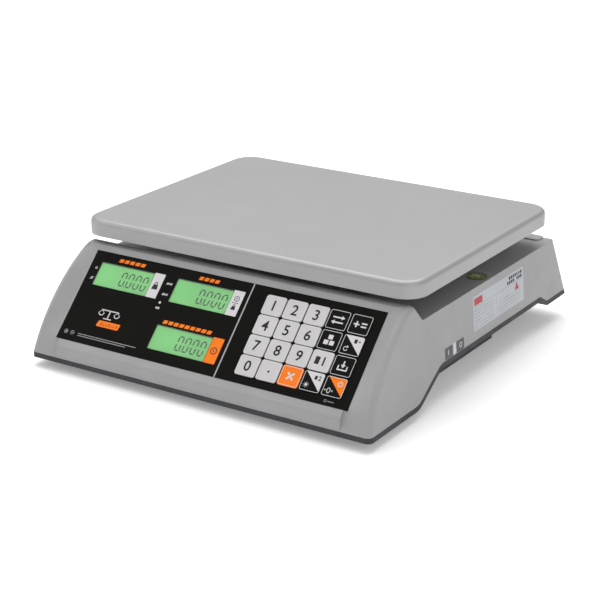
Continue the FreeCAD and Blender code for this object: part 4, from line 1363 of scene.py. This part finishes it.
@dataclass
class FrontPanel(DisplayFilm):
    """The print on the seller's film, the digits behind its windows and painted shadows along the
    windows' edges.
    """

    divider_at: float = 19.2
    divider_width: float = 1.1
    divider_inset: float = 0.2
    bezel: float = 3.0
    # Widths of the painted shadow strips along a window's right side and top.
    painted_shadow_side: float = 0.5
    painted_shadow_top: float = 0.7
    titles: dict = field(default_factory=lambda: {
        "lcd_mass": (-115.5, 77.2, 5, 5.6), "lcd_price": (-33.0, 77.2, 4, 5.2),
        "lcd_total": (-48.0, 33.4, 9, 5.45)})
    marks: PanelPrint = field(default_factory=PanelPrint)

    @cached_property
    def plane(self) -> Plane:
        """The film's outer face, with its origin at the middle of the lower edge."""
        inward = Vector(self.shop.joints["key_1_press"]["axis"])
        up = Vector((0.0, -inward.z, inward.y))
        rough = Plane(Vector((0.0, 0.0, 0.0)), Vector((1.0, 0.0, 0.0)), up)
        film = rough.extent(self.shop.nodes["front_overlay"])
        return Plane((rough.up * film.low + rough.out * film.top) * MM, rough.along, rough.up)

    def build(self) -> None:
        """Print the film, set the digits and paint shade along the display edges."""
        film = self.plane.extent(self.shop.nodes["front_overlay"])
        half, inset = self.divider_width / 2, self.divider_inset
        divider = rounded(self.divider_at - half, inset, self.divider_at + half, film.high - inset)
        self.lay("panel_divider", Artwork().plate(divider), self.look.pale)
        for name, title in self.titles.items():
            window = self._window(name)
            self._digits(name, window)
            self._painted_shadows(name, window)
            self._tag(name, name.removeprefix("lcd_"), window)
            self._title(name, *title)
        self.lay("panel_indicators", self.marks.indicators(), self.look.white)
        self.lay("panel_emblem", self.marks.balance(), self.look.white)
        self.lay("panel_badge", self.marks.badge_field(), self.look.orange)
        self.lay("panel_badge_ticks", self.marks.badge_scale(), self.look.dark, INK)
        self.lay("panel_small_print", self.marks.small_print(), self.look.grey)

    def _window(self, name: str) -> Extent:
        """The visible window of a display, with its glass as the top."""
        left, low, right, high, top = self.plane.extent(self.shop.nodes[name])
        return Extent(left + self.bezel, low + self.bezel, right - self.bezel, high - self.bezel, top)

    def _painted_shadows(self, name: str, window: Extent) -> None:
        """Paint shade along the upper and right edges of a display: a painted shadow of the bezel on the
        glass.

        Args:
            name: Name of the display.
            window: Its visible window.
        """
        left, low, right, high, glass = window
        # Painted shadow over the glass, named after the window's edge.
        art = Artwork(0.03).boxes([(left, high - self.painted_shadow_top, right, high),
                                   (right - self.painted_shadow_side, low, right, high - self.painted_shadow_top)])
        self.lay(f"{name}_edge", art, self.look.shadow, glass + 0.012)


# ------------------------------------------------------------------ keys


class Mark(NamedTuple):
    """One printed mark of a key."""

    suffix: str
    art: Artwork
    ink: Finish
    lift: float = 0.0


@dataclass(frozen=True)
class KeySigns:
    """Pictograms of the keys, drawn in millimetres round the key's middle."""

    figure_height: float = 9.0
    figure_weight: float = 0.014
    small_weight: float = 0.02
    dot: tuple[float, ...] = (0.0, -0.6, 0.95, 20)
    cross_reach: float = 2.9
    cross_width: float = 1.6
    arrow_bar: Box = (-5.2, 1.5, 2.6, 2.7)
    arrow_head: tuple[Point, ...] = ((2.6, 0.3), (5.6, 2.1), (2.6, 3.9))
    plus: tuple[Box, ...] = (
        (-5.8, -0.65, -0.8, 0.65), (-3.95, 0.65, -2.65, 2.5), (-3.95, -2.5, -2.65, -0.65))
    equals: tuple[Box, ...] = ((0.9, 0.75, 5.8, 2.0), (0.9, -2.0, 5.8, -0.75))
    blocks: tuple[Box, ...] = (
        (-4.6, -3.8, -0.5, 0.0), (0.5, -3.8, 4.6, 0.0), (-2.05, 0.9, 2.05, 4.7))
    tray: tuple[Box, ...] = (
        (-4.4, -3.9, 4.4, -2.8), (-4.4, -2.8, -3.3, 0.2), (3.3, -2.8, 4.4, 0.2))
    drop_head: tuple[Point, ...] = ((-2.1, 1.0), (0.0, -1.7), (2.1, 1.0))
    drop_stem: Box = (-0.6, 1.0, 0.6, 4.2)
    first_block: Box = (-5.2, -3.2, -1.2, 3.2)
    second_block: Box = (0.9, 2.2, 3.2, 5.4)
    reset_block: Box = (0.9, 2.2, 3.5, 5.6)
    reset_spot: tuple[float, ...] = (5.6, 3.9, 0.75, 16)
    turn_at: Point = (-4.1, -3.5)
    lamp_at: Point = (-4.2, -3.3)
    rays: int = 8
    ray_near: float = 1.75
    ray_far: float = 2.4
    nought_at: Point = (-3.7, -3.6)
    power_at: Point = (4.0, 3.3)

    def marks(self, key: str, look: Palette) -> list[Mark]:
        """The printed marks of a key.

        Args:
            key: The key's name without its prefix.
            look: The palette.

        Returns:
            Its marks.
        """
        if key.isdigit():
            figure = Artwork().figure(key, (0.0, 0.0), self.figure_height, self.figure_weight)
            return [Mark("figure", figure, look.dark)]
        makers = {
            "point": lambda: [Mark("dot", Artwork().plate(circle(*self.dot)), look.dark)],
            "clear": lambda: [Mark("cross", self._cross(), look.white)],
            "change": lambda: [Mark("mark", self._arrows(), look.white)],
            "sum": lambda: [Mark("mark", Artwork().boxes(self.plus + self.equals), look.white)],
            "pieces": lambda: [Mark("mark", Artwork().boxes(self.blocks, 0.4), look.white)],
            "tare": lambda: [Mark("mark", self._tray(), look.white)],
            "preset_one": lambda: [Mark("mark", self._preset(self.first_block, 0.4).figure(
                "1", (2.6, 0.0), 7.4, self.small_weight), look.dark)],
            "reset": lambda: [
                Mark("turn", self._turn_back(), look.white),
                Mark("preset", self._preset(self.reset_block, 0.3).plate(circle(*self.reset_spot)),
                     look.dark, INK)],
            "lamp": lambda: [
                Mark("lamp", self._lamp(), look.white),
                Mark("preset", self._preset(self.second_block, 0.3).figure(
                    "2", (5.5, 3.8), 3.9, self.small_weight), look.dark, INK)],
            "zero": lambda: [
                Mark("nought", self._nought(), look.white),
                Mark("power", self._power(), look.white, INK)],
        }
        return makers[key]()

    def _preset(self, block: Box, corner: float) -> Artwork:
        """A filled block, which stands for goods with a stored price."""
        return Artwork().boxes([block], corner)

    def _cross(self) -> Artwork:
        """A diagonal cross made of one bar and two half bars."""
        reach, width = self.cross_reach, self.cross_width
        near = width / 2 / math.sqrt(2) * 1.4
        return Artwork().plate(
            stroke((-reach, -reach), (reach, reach), width),
            stroke((-reach, reach), (-near, near), width), stroke((near, -near), (reach, -reach), width))

    def _arrows(self) -> Artwork:
        """Two arrows that pass each other: change given back."""
        bar = rounded(*self.arrow_bar)
        return Artwork().plate(bar, turned(bar), self.arrow_head, turned(self.arrow_head))

    def _tray(self) -> Artwork:
        """A tray under an arrow: the weight of an empty tray."""
        return Artwork().boxes(self.tray).plate(self.drop_head).boxes([self.drop_stem])

    def _turn_back(self) -> Artwork:
        """An open ring that ends in an arrow head: back to the start."""
        x, y = self.turn_at
        tip = [(x + 0.5, y + 2.9), (x + 0.5, y + 0.5), (x + 2.4, y + 1.7)]
        return Artwork().plate(arc_band(x, y, 1.7, 0.6, 85, 345), tip)

    def _lamp(self) -> Artwork:
        """A lamp with short rays."""
        art = Artwork().plate(circle(*self.lamp_at, 1.25, 20))
        lamp = Vector(self.lamp_at)
        for index in range(self.rays):
            turn = math.tau * index / self.rays
            ray = Vector((math.cos(turn), math.sin(turn)))
            art.plate(stroke(lamp + ray * self.ray_near, lamp + ray * self.ray_far, 0.4))
        return art

    def _nought(self) -> Artwork:
        """A nought between two pointers."""
        x, y = self.nought_at
        outer, inner = ([(x + (a - x) * narrow, b) for a, b in circle(x, y, radius, 24)]
                        for radius, narrow in ((2.3, 0.72), (1.65, 0.62)))
        pointer = [(-3.6, 0.9), (-3.6, -0.9), (-2.3, 0.0)]
        pair = ([(x + a, y + b) for a, b in loop] for loop in (pointer, turned(pointer)))
        return Artwork().band(outer, inner).plate(*pair)

    def _power(self) -> Artwork:
        """An open ring with an upright stroke."""
        x, y = self.power_at
        line = rounded(x - 0.32, y + 0.2, x + 0.32, y + 2.8)
        return Artwork().plate(arc_band(x, y, 2.0, 0.6, 122, 418), line)


@dataclass
class Keypad(Assembly):
    """Marks, rims and split fields of the twenty keys; on the white keys the rim is a painted highlight
    of the rounded edge.
    """

    panel: FrontPanel
    rim_inset: float = 0.55
    rim_width: float = 0.42
    corner: float = 1.7
    split_inset: float = 0.9
    signs: KeySigns = field(default_factory=KeySigns)
    faces: dict = field(default_factory=lambda: {
        "key_change": Face.BLACK, "key_sum": Face.BLACK, "key_pieces": Face.BLACK,
        "key_tare": Face.BLACK, "key_reset": Face.SPLIT_WHITE, "key_lamp": Face.SPLIT_WHITE,
        "key_zero": Face.SPLIT_ORANGE, "key_clear": Face.ORANGE})

    @cached_property
    def plane(self) -> Plane:
        """The panel's face."""
        return self.panel.plane

    def build(self) -> None:
        """Dress and mark every key."""
        caps = {Face.WHITE: self.look.key_white, Face.ORANGE: self.look.key_orange}
        splits = {Face.SPLIT_WHITE: self.look.white, Face.SPLIT_ORANGE: self.look.orange}
        for name in sorted(name for name in self.shop.nodes if name.startswith("key_")):
            left, low, right, high, top = self.plane.extent(self.shop.nodes[name])
            centre = (left + right) / 2, (low + high) / 2
            half = (right - left) / 2, (high - low) / 2
            face = self.faces.get(name, Face.WHITE)
            self.shop.dress(caps.get(face, self.look.key_black), name)
            # The white rim is a printed outline on the black keys and a painted highlight of the rounded
            # edge on the white keys.
            marks = [Mark("rim", self._rim(half), self.look.white)]
            if face in splits:
                marks.append(Mark("field", self._split(half), splits[face]))
            for mark in marks + self.signs.marks(name.removeprefix("key_"), self.look):
                self.lay(f"{name}_{mark.suffix}", mark.art, mark.ink, top + mark.lift, centre, name)

    def _rim(self, half: Point) -> Artwork:
        """A thin outline just inside a key's edge, in white ink: a printed outline on the black keys and
        a painted highlight of the rounded edge on the white keys.

        Args:
            half: Half the key's sides.

        Returns:
            The artwork.
        """
        a, b = half[0] - self.rim_inset, half[1] - self.rim_inset
        c, d = a - self.rim_width, b - self.rim_width
        inner = rounded(-c, -d, c, d, self.corner - self.rim_width)
        return Artwork().band(rounded(-a, -b, a, b, self.corner), inner)

    def _split(self, half: Point) -> Artwork:
        """The upper right half of a key's face.

        Args:
            half: Half the key's sides.

        Returns:
            The artwork.
        """
        inset = self.rim_inset + self.rim_width
        a, b = half[0] - inset, half[1] - inset
        corner = [point for point in rounded(-a, -b, a, b, self.corner - self.rim_width)
                  if point[0] > a - self.corner and point[1] > b - self.corner]
        return Artwork().plate([(a, -b + self.split_inset), *corner, (-a + self.split_inset, b)])


# ------------------------------------------------------------------ rear panel


@dataclass
class RearPanel(DisplayFilm):
    """The customer's displays on the rear wall."""

    tag_width: float = 9.0
    tag_gap: float = 0.4
    tag_below: float = 0.0
    tag_above: float = 0.0
    title_height: float = 2.6
    title_gap: float = 1.2
    title_from: float = -12.0
    title_foot: float = 13.0
    title_blocks: int = 5
    title_pitch: float = 5.0
    displays: tuple[str, ...] = ("mass", "price", "total")
    pitch: float = 82.0
    view_width: float = 55.6
    view_height: float = 21.8
    tilt: float = 67.85
    border: Box = (-129.6, -17.6, 129.6, 17.6)
    border_inner: Box = (-129.1, -17.1, 129.1, 17.1)

    @cached_property
    def plane(self) -> Plane:
        """The rear film's outer face, with its origin at the film's middle."""
        lean = math.radians(self.tilt)
        up = Vector((0, -math.cos(lean), math.sin(lean)))
        rough = Plane(Vector((0, 0, 0)), Vector((-1, 0, 0)), up)
        film = rough.extent(self.shop.nodes["rear_overlay"])
        origin = (rough.up * (film.low + film.high) / 2 + rough.out * film.top) * MM
        return Plane(origin, rough.along, rough.up)

    def build(self) -> None:
        """Digits, tags and titles of the three displays, and a border."""
        glass = self.plane.extent(self.shop.nodes["rear_displays"]).top
        across, up = self.view_width / 2, self.view_height / 2
        for index, kind in enumerate(self.displays):
            x, name = (index - 1) * self.pitch, f"rear_{kind}"
            window = Extent(x - across, -up, x + across, up, glass)
            self._digits(name, window)
            self._tag(name, kind, window)
            self._title(name, x + self.title_from, self.title_foot, self.title_blocks, self.title_pitch)
        border = Artwork().band(rounded(*self.border, 2.0), rounded(*self.border_inner, 1.5))
        self.lay("rear_border", border, self.look.pale)


# ------------------------------------------------------------------ labels


@dataclass
class SideLabels(Assembly):
    """The switch label and the rating label on the right side wall."""

    draft: float = 5.0
    foil: float = 0.08
    switch: Box = (-57.2, 21.4, -24.6, 31.0)
    switch_gap: float = 3.3
    arrow_half: float = 3.2
    arrow_tall: float = 3.4
    stem_half: float = 1.9
    rating: Box = (-6.4, 29.0, 87.6, 58.4)

    @cached_property
    def plane(self) -> Plane:
        """The leaning side wall, with its origin at the seam under the middle of the body."""
        low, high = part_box("upper_housing")
        lean = math.radians(self.draft)
        up = Vector((-math.sin(lean), 0, math.cos(lean)))
        return Plane(Vector((high.x, 0.0, low.z)), Vector((0, 1, 0)), up)

    def build(self) -> None:
        """Stick both labels on."""
        left, low, right, high = self.switch
        middle, foot = (left + right) / 2, low - 0.6
        halves = Artwork(self.foil).plate(rounded(left, low, middle - self.switch_gap, high, 1.2),
                                          rounded(middle + self.switch_gap, low, right, high, 1.2))
        self.lay("switch_label", halves, self.look.slate)
        head, stem, neck = self.arrow_half, self.stem_half, foot + self.arrow_tall
        arrow = [(middle, foot), (middle + head, neck), (middle + stem, neck), (middle + stem, high),
                 (middle - stem, high), (middle - stem, neck), (middle - head, neck)]
        self.lay("switch_label_arrow", Artwork().plate(arrow), self.look.white, 0.06)
        signs = Artwork().boxes([(left + 5.4, low + 2.6, left + 6.3, high - 2.6)])
        signs.ring((right - 5.8, (low + high) / 2), 2.3, 1.6, 28)
        self.lay("switch_label_signs", signs, self.look.white, self.foil)
        self._rating()

    def _rating(self) -> None:
        """A foil label with blank fields, rules and rows of dashes."""
        left, low, right, high = self.rating
        self.lay("rating_label", Artwork(self.foil).plate(rounded(*self.rating, 1.0)), self.look.label)
        reds = Artwork().plate(rounded(left + 2.5, high - 8.0, left + 17.0, high - 2.2, 0.5))
        x, y = right - 13.0, high - 13.2
        reds.plate([(x - 4.0, y - 3.2), (x + 4.0, y - 3.2), (x, y + 3.6)])
        self.lay("rating_label_red", reds, self.look.red, self.foil)
        rule = PrintLines().rule(self.look.of(self.look.dark))
        sizes = "Columns", "Rows", "Pitch", "Leading", "Height", "Seed"
        blocks = (
            ("title", (right - 17.0, high - 4.9), (8, 2, 3.6, 3.7, 2.6, 5), self.look.dark),
            ("left", (left + 20.0, low + 9.6), (14, 6, 2.5, 2.9, 0.8, 11), self.look.grey),
            ("right", (right - 28.0, low + 7.6), (17, 4, 2.5, 2.9, 0.8, 23), self.look.grey),
        )
        for name, at, values, ink in blocks:
            place = self.plane.matrix(at, self.foil + INK / 2)
            mesh = rule.mesh(f"rating_{name}", place, dict(zip(sizes, values)))
            self.shop.fit(f"rating_{name}", mesh, ink, slot=Slot.KEY_BLACK)
        lines = Artwork(0.03).boxes([(left + 42.0, low + 2.0, left + 42.4, high - 9.0),
                                     (left + 2.0, high - 9.6, right - 2.0, high - 9.2)])
        self.lay("rating_label_rules", lines, self.look.grey, self.foil)


# ------------------------------------------------------------------ small parts


@dataclass
class LevelVial(Assembly):
    """Ring and bubble of the round level."""

    ring: float = 3.1
    ring_width: float = 0.4
    bubble: float = 2.2
    bubble_rise: float = 0.28
    bubble_at: Point = (0.5, 0.4)

    @cached_property
    def plane(self) -> Plane:
        """The vial's upper face."""
        low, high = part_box("level_vial")
        middle = Vector(((low.x + high.x) / 2, (low.y + high.y) / 2, high.z))
        return Plane(middle, Vector((1, 0, 0)), Vector((0, 1, 0)))

    def build(self) -> None:
        """Draw the ring and set the bubble on the vial's face."""
        half = self.ring_width / 2
        ring = Artwork(0.04).ring((0, 0), self.ring + half, self.ring - half, 40)
        self.lay("level_ring", ring, self.look.dark)
        dome = bmesh.new()
        bmesh.ops.create_uvsphere(dome, u_segments=28, v_segments=14, radius=self.bubble)
        bmesh.ops.scale(dome, vec=(1.0, 1.0, self.bubble_rise / self.bubble), verts=dome.verts)
        mesh = bpy.data.meshes.new("level_bubble")
        dome.to_mesh(mesh)
        dome.free()
        mesh.transform(self.plane.matrix(self.bubble_at, 0.02))
        self.shop.fit("level_bubble", mesh, self.look.bubble, smooth=True)


@dataclass
class Fasteners(Assembly):
    """Cross-recessed heads over the plain screws of the housing."""

    radius: float = 3.7
    crown: float = 0.9
    arm: float = 2.1
    slot_width: float = 0.75
    recess: float = 0.5
    sink: float = 0.3

    @cached_property
    def plane(self) -> Plane:
        """A level face that looks down."""
        return Plane(Vector((0, 0, 0)), Vector((1, 0, 0)), Vector((0, -1, 0)))

    def rule(self) -> Rule:
        """Build the tree that sets a crowned, cross-cut cap on each point."""
        rule = Rule("screw_caps")
        radius, crown, arm, width, depth = rule.sizes(
            radius=self.radius, crown=self.crown, arm=self.arm, slot_width=self.slot_width,
            recess=self.recess)
        ball = rule.node("GeometryNodeMeshUVSphere", {"Segments": 32, "Rings": 16, "Radius": radius})
        flat = rule.vector(1.0, 1.0, rule.math("DIVIDE", crown, radius))
        cap = rule.moved(ball.outputs["Mesh"], scale=flat)
        size = rule.vector(rule.times(arm, 2.0), width, depth)
        bar = rule.node("GeometryNodeMeshCube", {"Size": size}).outputs["Mesh"]
        top = rule.vector(0.0, 0.0, crown)
        cut = rule.node("GeometryNodeMeshBoolean", {"Mesh 1": cap}, operation="DIFFERENCE")
        for cutter in (rule.moved(bar, top), rule.moved(bar, top, QUARTER_TURN)):
            rule.group.links.new(cutter, cut.inputs["Mesh 2"])
        heads = rule.copies(rule.start.outputs["Geometry"], cut.outputs[0])
        rule.finish(heads, self.look.of(self.look.fastener))
        return rule

    def build(self) -> None:
        """Cap every housing screw."""
        boxes = solid_boxes(self.shop.nodes["housing_screws"])
        places = [((low.x + high.x) / 2 / MM, -(low.y + high.y) / 2 / MM, -low.z / MM - self.sink)
                  for low, high in boxes]
        mesh = self.rule().mesh("screw_caps", self.plane.matrix(), places=places)
        self.shop.fit("screw_caps", mesh, self.look.fastener)


@dataclass
class Feet(Assembly):
    """Ribs round the turning pads, so that fingers grip them."""

    ribs: int = 30
    ring: float = 12.5
    rib_width: float = 1.1
    rib_depth: float = 0.9
    rib_height: float = 4.2
    rib_rise: float = 0.4
    standing: float = 0.2

    def rule(self) -> Rule:
        """Build the tree that stands ribs round a circle."""
        rule = Rule("foot_ribs")
        count, radius, width, depth, height = rule.sizes(
            ribs=self.ribs, radius=self.ring, rib_width=self.rib_width, rib_depth=self.rib_depth,
            rib_height=self.rib_height)
        circle_inputs = {"Vertices": count, "Radius": radius}
        ring = rule.node("GeometryNodeMeshCircle", circle_inputs, fill_type="NONE").outputs[0]
        rib = rule.node("GeometryNodeMeshCylinder", {
            "Vertices": 10, "Side Segments": 1, "Radius": 0.5, "Depth": height})
        shaped = rule.moved(rib.outputs["Mesh"], scale=rule.vector(depth, width, 1.0))
        x, y, _ = rule.place()
        angle = rule.math("ARCTAN2", y, x)
        ribs = rule.copies(ring, shaped, {"Rotation": rule.vector(0.0, 0.0, angle)})
        rule.finish(ribs, self.look.of(self.look.foot))
        return rule

    def build(self) -> None:
        """Rib the four pads."""
        rule = self.rule()
        for name in (f"foot_{end}_{side}_pad" for end in ("front", "rear") for side in ("left", "right")):
            low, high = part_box(name)
            middle = (low + high) / 2 + Vector((0.0, 0.0, self.rib_rise * MM))
            radius = (high.x - low.x) / 2 / MM - self.rib_depth / 2 + self.standing
            place = Matrix.Translation(middle) @ Matrix.Scale(MM, 4)
            mesh = rule.mesh(f"{name}_ribs", place, {"Radius": radius})
            self.shop.fit(f"{name}_ribs", mesh, self.look.foot, name)


@dataclass
class Underside(Assembly):
    """Grip ribs on the battery door."""

    grips: int = 7
    grip_pitch: float = 2.6
    grip_width: float = 1.1
    grip_half: float = 14.0
    grip_from: float = -30.0
    grip_rise: float = 0.35

    @cached_property
    def plane(self) -> Plane:
        """The door's outer face, which looks down."""
        low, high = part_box("battery_door")
        middle = Vector(((low.x + high.x) / 2, (low.y + high.y) / 2, low.z))
        return Plane(middle, Vector((1, 0, 0)), Vector((0, -1, 0)))

    def build(self) -> None:
        """Add the ribs near the door's edge."""
        grip = Artwork(self.grip_rise)
        for index in range(self.grips):
            y = self.grip_from + index * self.grip_pitch
            grip.plate(rounded(-self.grip_half, y, self.grip_half, y + self.grip_width, 0.5))
        self.lay("battery_door_grip", grip, self.look.base, body=Body.HATCH.value)


@dataclass
class PowerSwitch(Assembly):
    """On and off signs on the rocker."""

    reach: float = 1.2
    stroke_half: float = 1.9
    stroke_width: float = 0.6
    ring: float = 1.4
    ring_width: float = 0.55
    thickness: float = 0.06

    def build(self) -> None:
        """Mark the two halves of the rocker by a stroke and a ring."""
        low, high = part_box("switch_rocker")
        middle = (low + high) / 2
        inner = self._outermost(middle.y)
        line = stroke((0.0, -self.stroke_half), (0.0, self.stroke_half), self.stroke_width)
        on_sign = Artwork(self.thickness).plate(line)
        half = self.ring_width / 2
        off_sign = Artwork(self.thickness).ring((0, 0), self.ring + half, self.ring - half, 28)
        for end, word, art in ((low.y, "on", on_sign), (high.y, "off", off_sign)):
            outer = self._outermost(end)
            along = Vector((outer.x - inner.x, outer.y - inner.y, 0.0)).normalized()
            along *= math.copysign(1.0, along.y)
            origin = Vector(((outer.x + inner.x) / 2, (outer.y + inner.y) / 2, middle.z))
            face, name = Plane(origin, along, Vector((0.0, 0.0, 1.0))), f"rocker_{word}_sign"
            self.shop.fit(name, art.mesh(name, face.matrix()), self.look.white, Body.ROCKER.value)

    def _outermost(self, y: float) -> Vector:
        """The rocker's corner that stands out most.

        Args:
            y: Place along the rocker, in metres.

        Returns:
            The corner.
        """
        vertices = self.shop.nodes["switch_rocker"].data.vertices
        near = (vertex.co for vertex in vertices if abs(vertex.co.y - y) < self.reach * MM)
        return max(near, key=lambda co: co.x)


@dataclass
class Casing(Assembly):
    """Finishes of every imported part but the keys."""

    def build(self) -> None:
        """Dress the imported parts."""
        look = self.look
        table: tuple[tuple[Finish, tuple[str, ...]], ...] = (
            (look.housing, ("upper_housing",)),
            (look.base, ("lower_housing", "battery_door")),
            (look.film, ("front_overlay", "rear_overlay")),
            (look.window, ("front_windows", "rear_windows")),
            (look.lcd, ("lcd_mass", "lcd_price", "lcd_total", "rear_displays")),
            (look.board, ("display_board", "keypad_board", "rear_board", "main_board")),
            (look.pan, ("pan",)),
            (look.cast, ("pan_carrier", "load_cell", "lower_spacer", "upper_spacer")),
            (look.pad, ("pan_pads",)),
            (look.frame, ("base_frame",)),
            (look.fastener, ("housing_screws", "cell_bolts", "carrier_bolts")),
            (look.cup, ("level_cup",)),
            (look.fluid, ("level_vial",)),
            (look.black, ("inlet_body", "switch_body", "switch_rocker")),
            (look.brass, ("inlet_blades",)),
            (look.battery, ("battery",)),
            (look.fastener, tuple(name for name in self.shop.nodes if name.endswith("_stud"))),
            (look.foot, tuple(name for name in self.shop.nodes
                              if name.startswith("foot_") and name.endswith("_pad"))),
        )
        for finish, names in table:
            self.shop.dress(finish, *names)


# ------------------------------------------------------------------ studio


@dataclass
class Studio:
    """Pale floor, soft light and the camera."""

    lens: float = 99.28
    sensor: float = 36.0
    camera_at: tuple[float, float, float] = (0.7213, -1.1451, 0.5284)
    azimuth: float = 32.59
    elevation: float = 20.01
    sky: float = 0.42
    floor_reach: float = 14.0
    floor_glow: tuple[float, float] = (0.22, 0.62)
    glow_reach: tuple[float, float] = (0.9, 2.6)
    lit_at: tuple[float, float, float] = (0.0, 0.0, 0.05)
    lamps: tuple = (
        ("overhead", (-0.3, 0.5, 1.9), 2.2, 42.0),
        ("left", (-1.9, -1.0, 1.1), 1.6, 11.0),
        ("right", (1.7, -0.9, 0.9), 1.5, 8.0),
    )

    def build(self) -> None:
        """Set floor, light and camera."""
        self._floor()
        self._light()
        self._camera()

    def _floor(self) -> None:
        """A wide pale floor under the feet, which glows more further away."""
        mesh = bpy.data.meshes.new("floor")
        reach = self.floor_reach
        corners = [(x, y, 0) for x, y in rounded(-reach, -reach, reach, reach)]
        mesh.from_pydata(corners, [], [(0, 1, 2, 3)])
        shade = Shade("floor_paper", (0.93, 0.93, 0.93), 0.9)
        shade.fix("Specular IOR Level", 0.0)
        shade.fix("Emission Color", (1.0, 1.0, 1.0, 1.0))
        distance = shade.tree.nodes.new("ShaderNodeVectorMath")
        distance.operation = "LENGTH"
        shade.tree.links.new(shade.place, distance.inputs[0])
        glow = shade.span(distance.outputs["Value"], *self.floor_glow, *self.glow_reach)
        shade.vary("Emission Strength", glow)
        shade.vary("Base Color", shade.tint(shade.grain(400.0), (0.92, 0.92, 0.92), (0.94, 0.94, 0.94)))
        mesh.materials.append(shade.material)
        floor = bpy.data.objects.new("floor", mesh)
        bpy.context.scene.collection.objects.link(floor)

    def _light(self) -> None:
        """An even white surround and large soft lamps."""
        world = bpy.data.worlds.new("studio")
        world.use_nodes = True
        inputs = world.node_tree.nodes["Background"].inputs
        inputs["Color"].default_value = (1.0, 1.0, 1.0, 1.0)
        inputs["Strength"].default_value = self.sky
        bpy.context.scene.world = world
        for name, place, size, power in self.lamps:
            data = bpy.data.lights.new(name, "AREA")
            data.size = size
            data.energy = power
            lamp = bpy.data.objects.new(name, data)
            lamp.location = place
            aim = Vector(self.lit_at) - Vector(place)
            lamp.rotation_euler = aim.to_track_quat("-Z", "Y").to_euler()
            bpy.context.scene.collection.objects.link(lamp)

    def _camera(self) -> None:
        """The camera, placed by its turn round the scale and its height."""
        turn, rise = math.radians(self.azimuth), math.radians(self.elevation)
        right = Vector((math.cos(turn), math.sin(turn), 0.0))
        back = Vector((math.sin(turn) * math.cos(rise), -math.cos(turn) * math.cos(rise), math.sin(rise)))
        axes = Matrix((right, back.cross(right), back)).transposed().to_4x4()
        data = bpy.data.cameras.new("camera")
        data.lens = self.lens
        data.sensor_width = self.sensor
        camera = bpy.data.objects.new("camera", data)
        camera.matrix_world = Matrix.Translation(self.camera_at) @ axes
        bpy.context.scene.collection.objects.link(camera)
        bpy.context.scene.camera = camera
        bpy.context.scene.view_settings.view_transform = "Standard"


def main() -> None:
    """Load the frame, build every sub-assembly in order and note the sizes."""
    logging.basicConfig(level=logging.INFO, format="%(name)s: %(message)s")
    shop = Workshop(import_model())
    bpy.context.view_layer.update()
    Casing(shop).build()
    panel = FrontPanel(shop)
    panel.build()
    Keypad(shop, panel).build()
    for kind in (RearPanel, SideLabels, LevelVial, Fasteners, Feet, Underside, PowerSwitch):
        kind(shop).build()
    Studio().build()


if __name__ == "__main__":
    main()
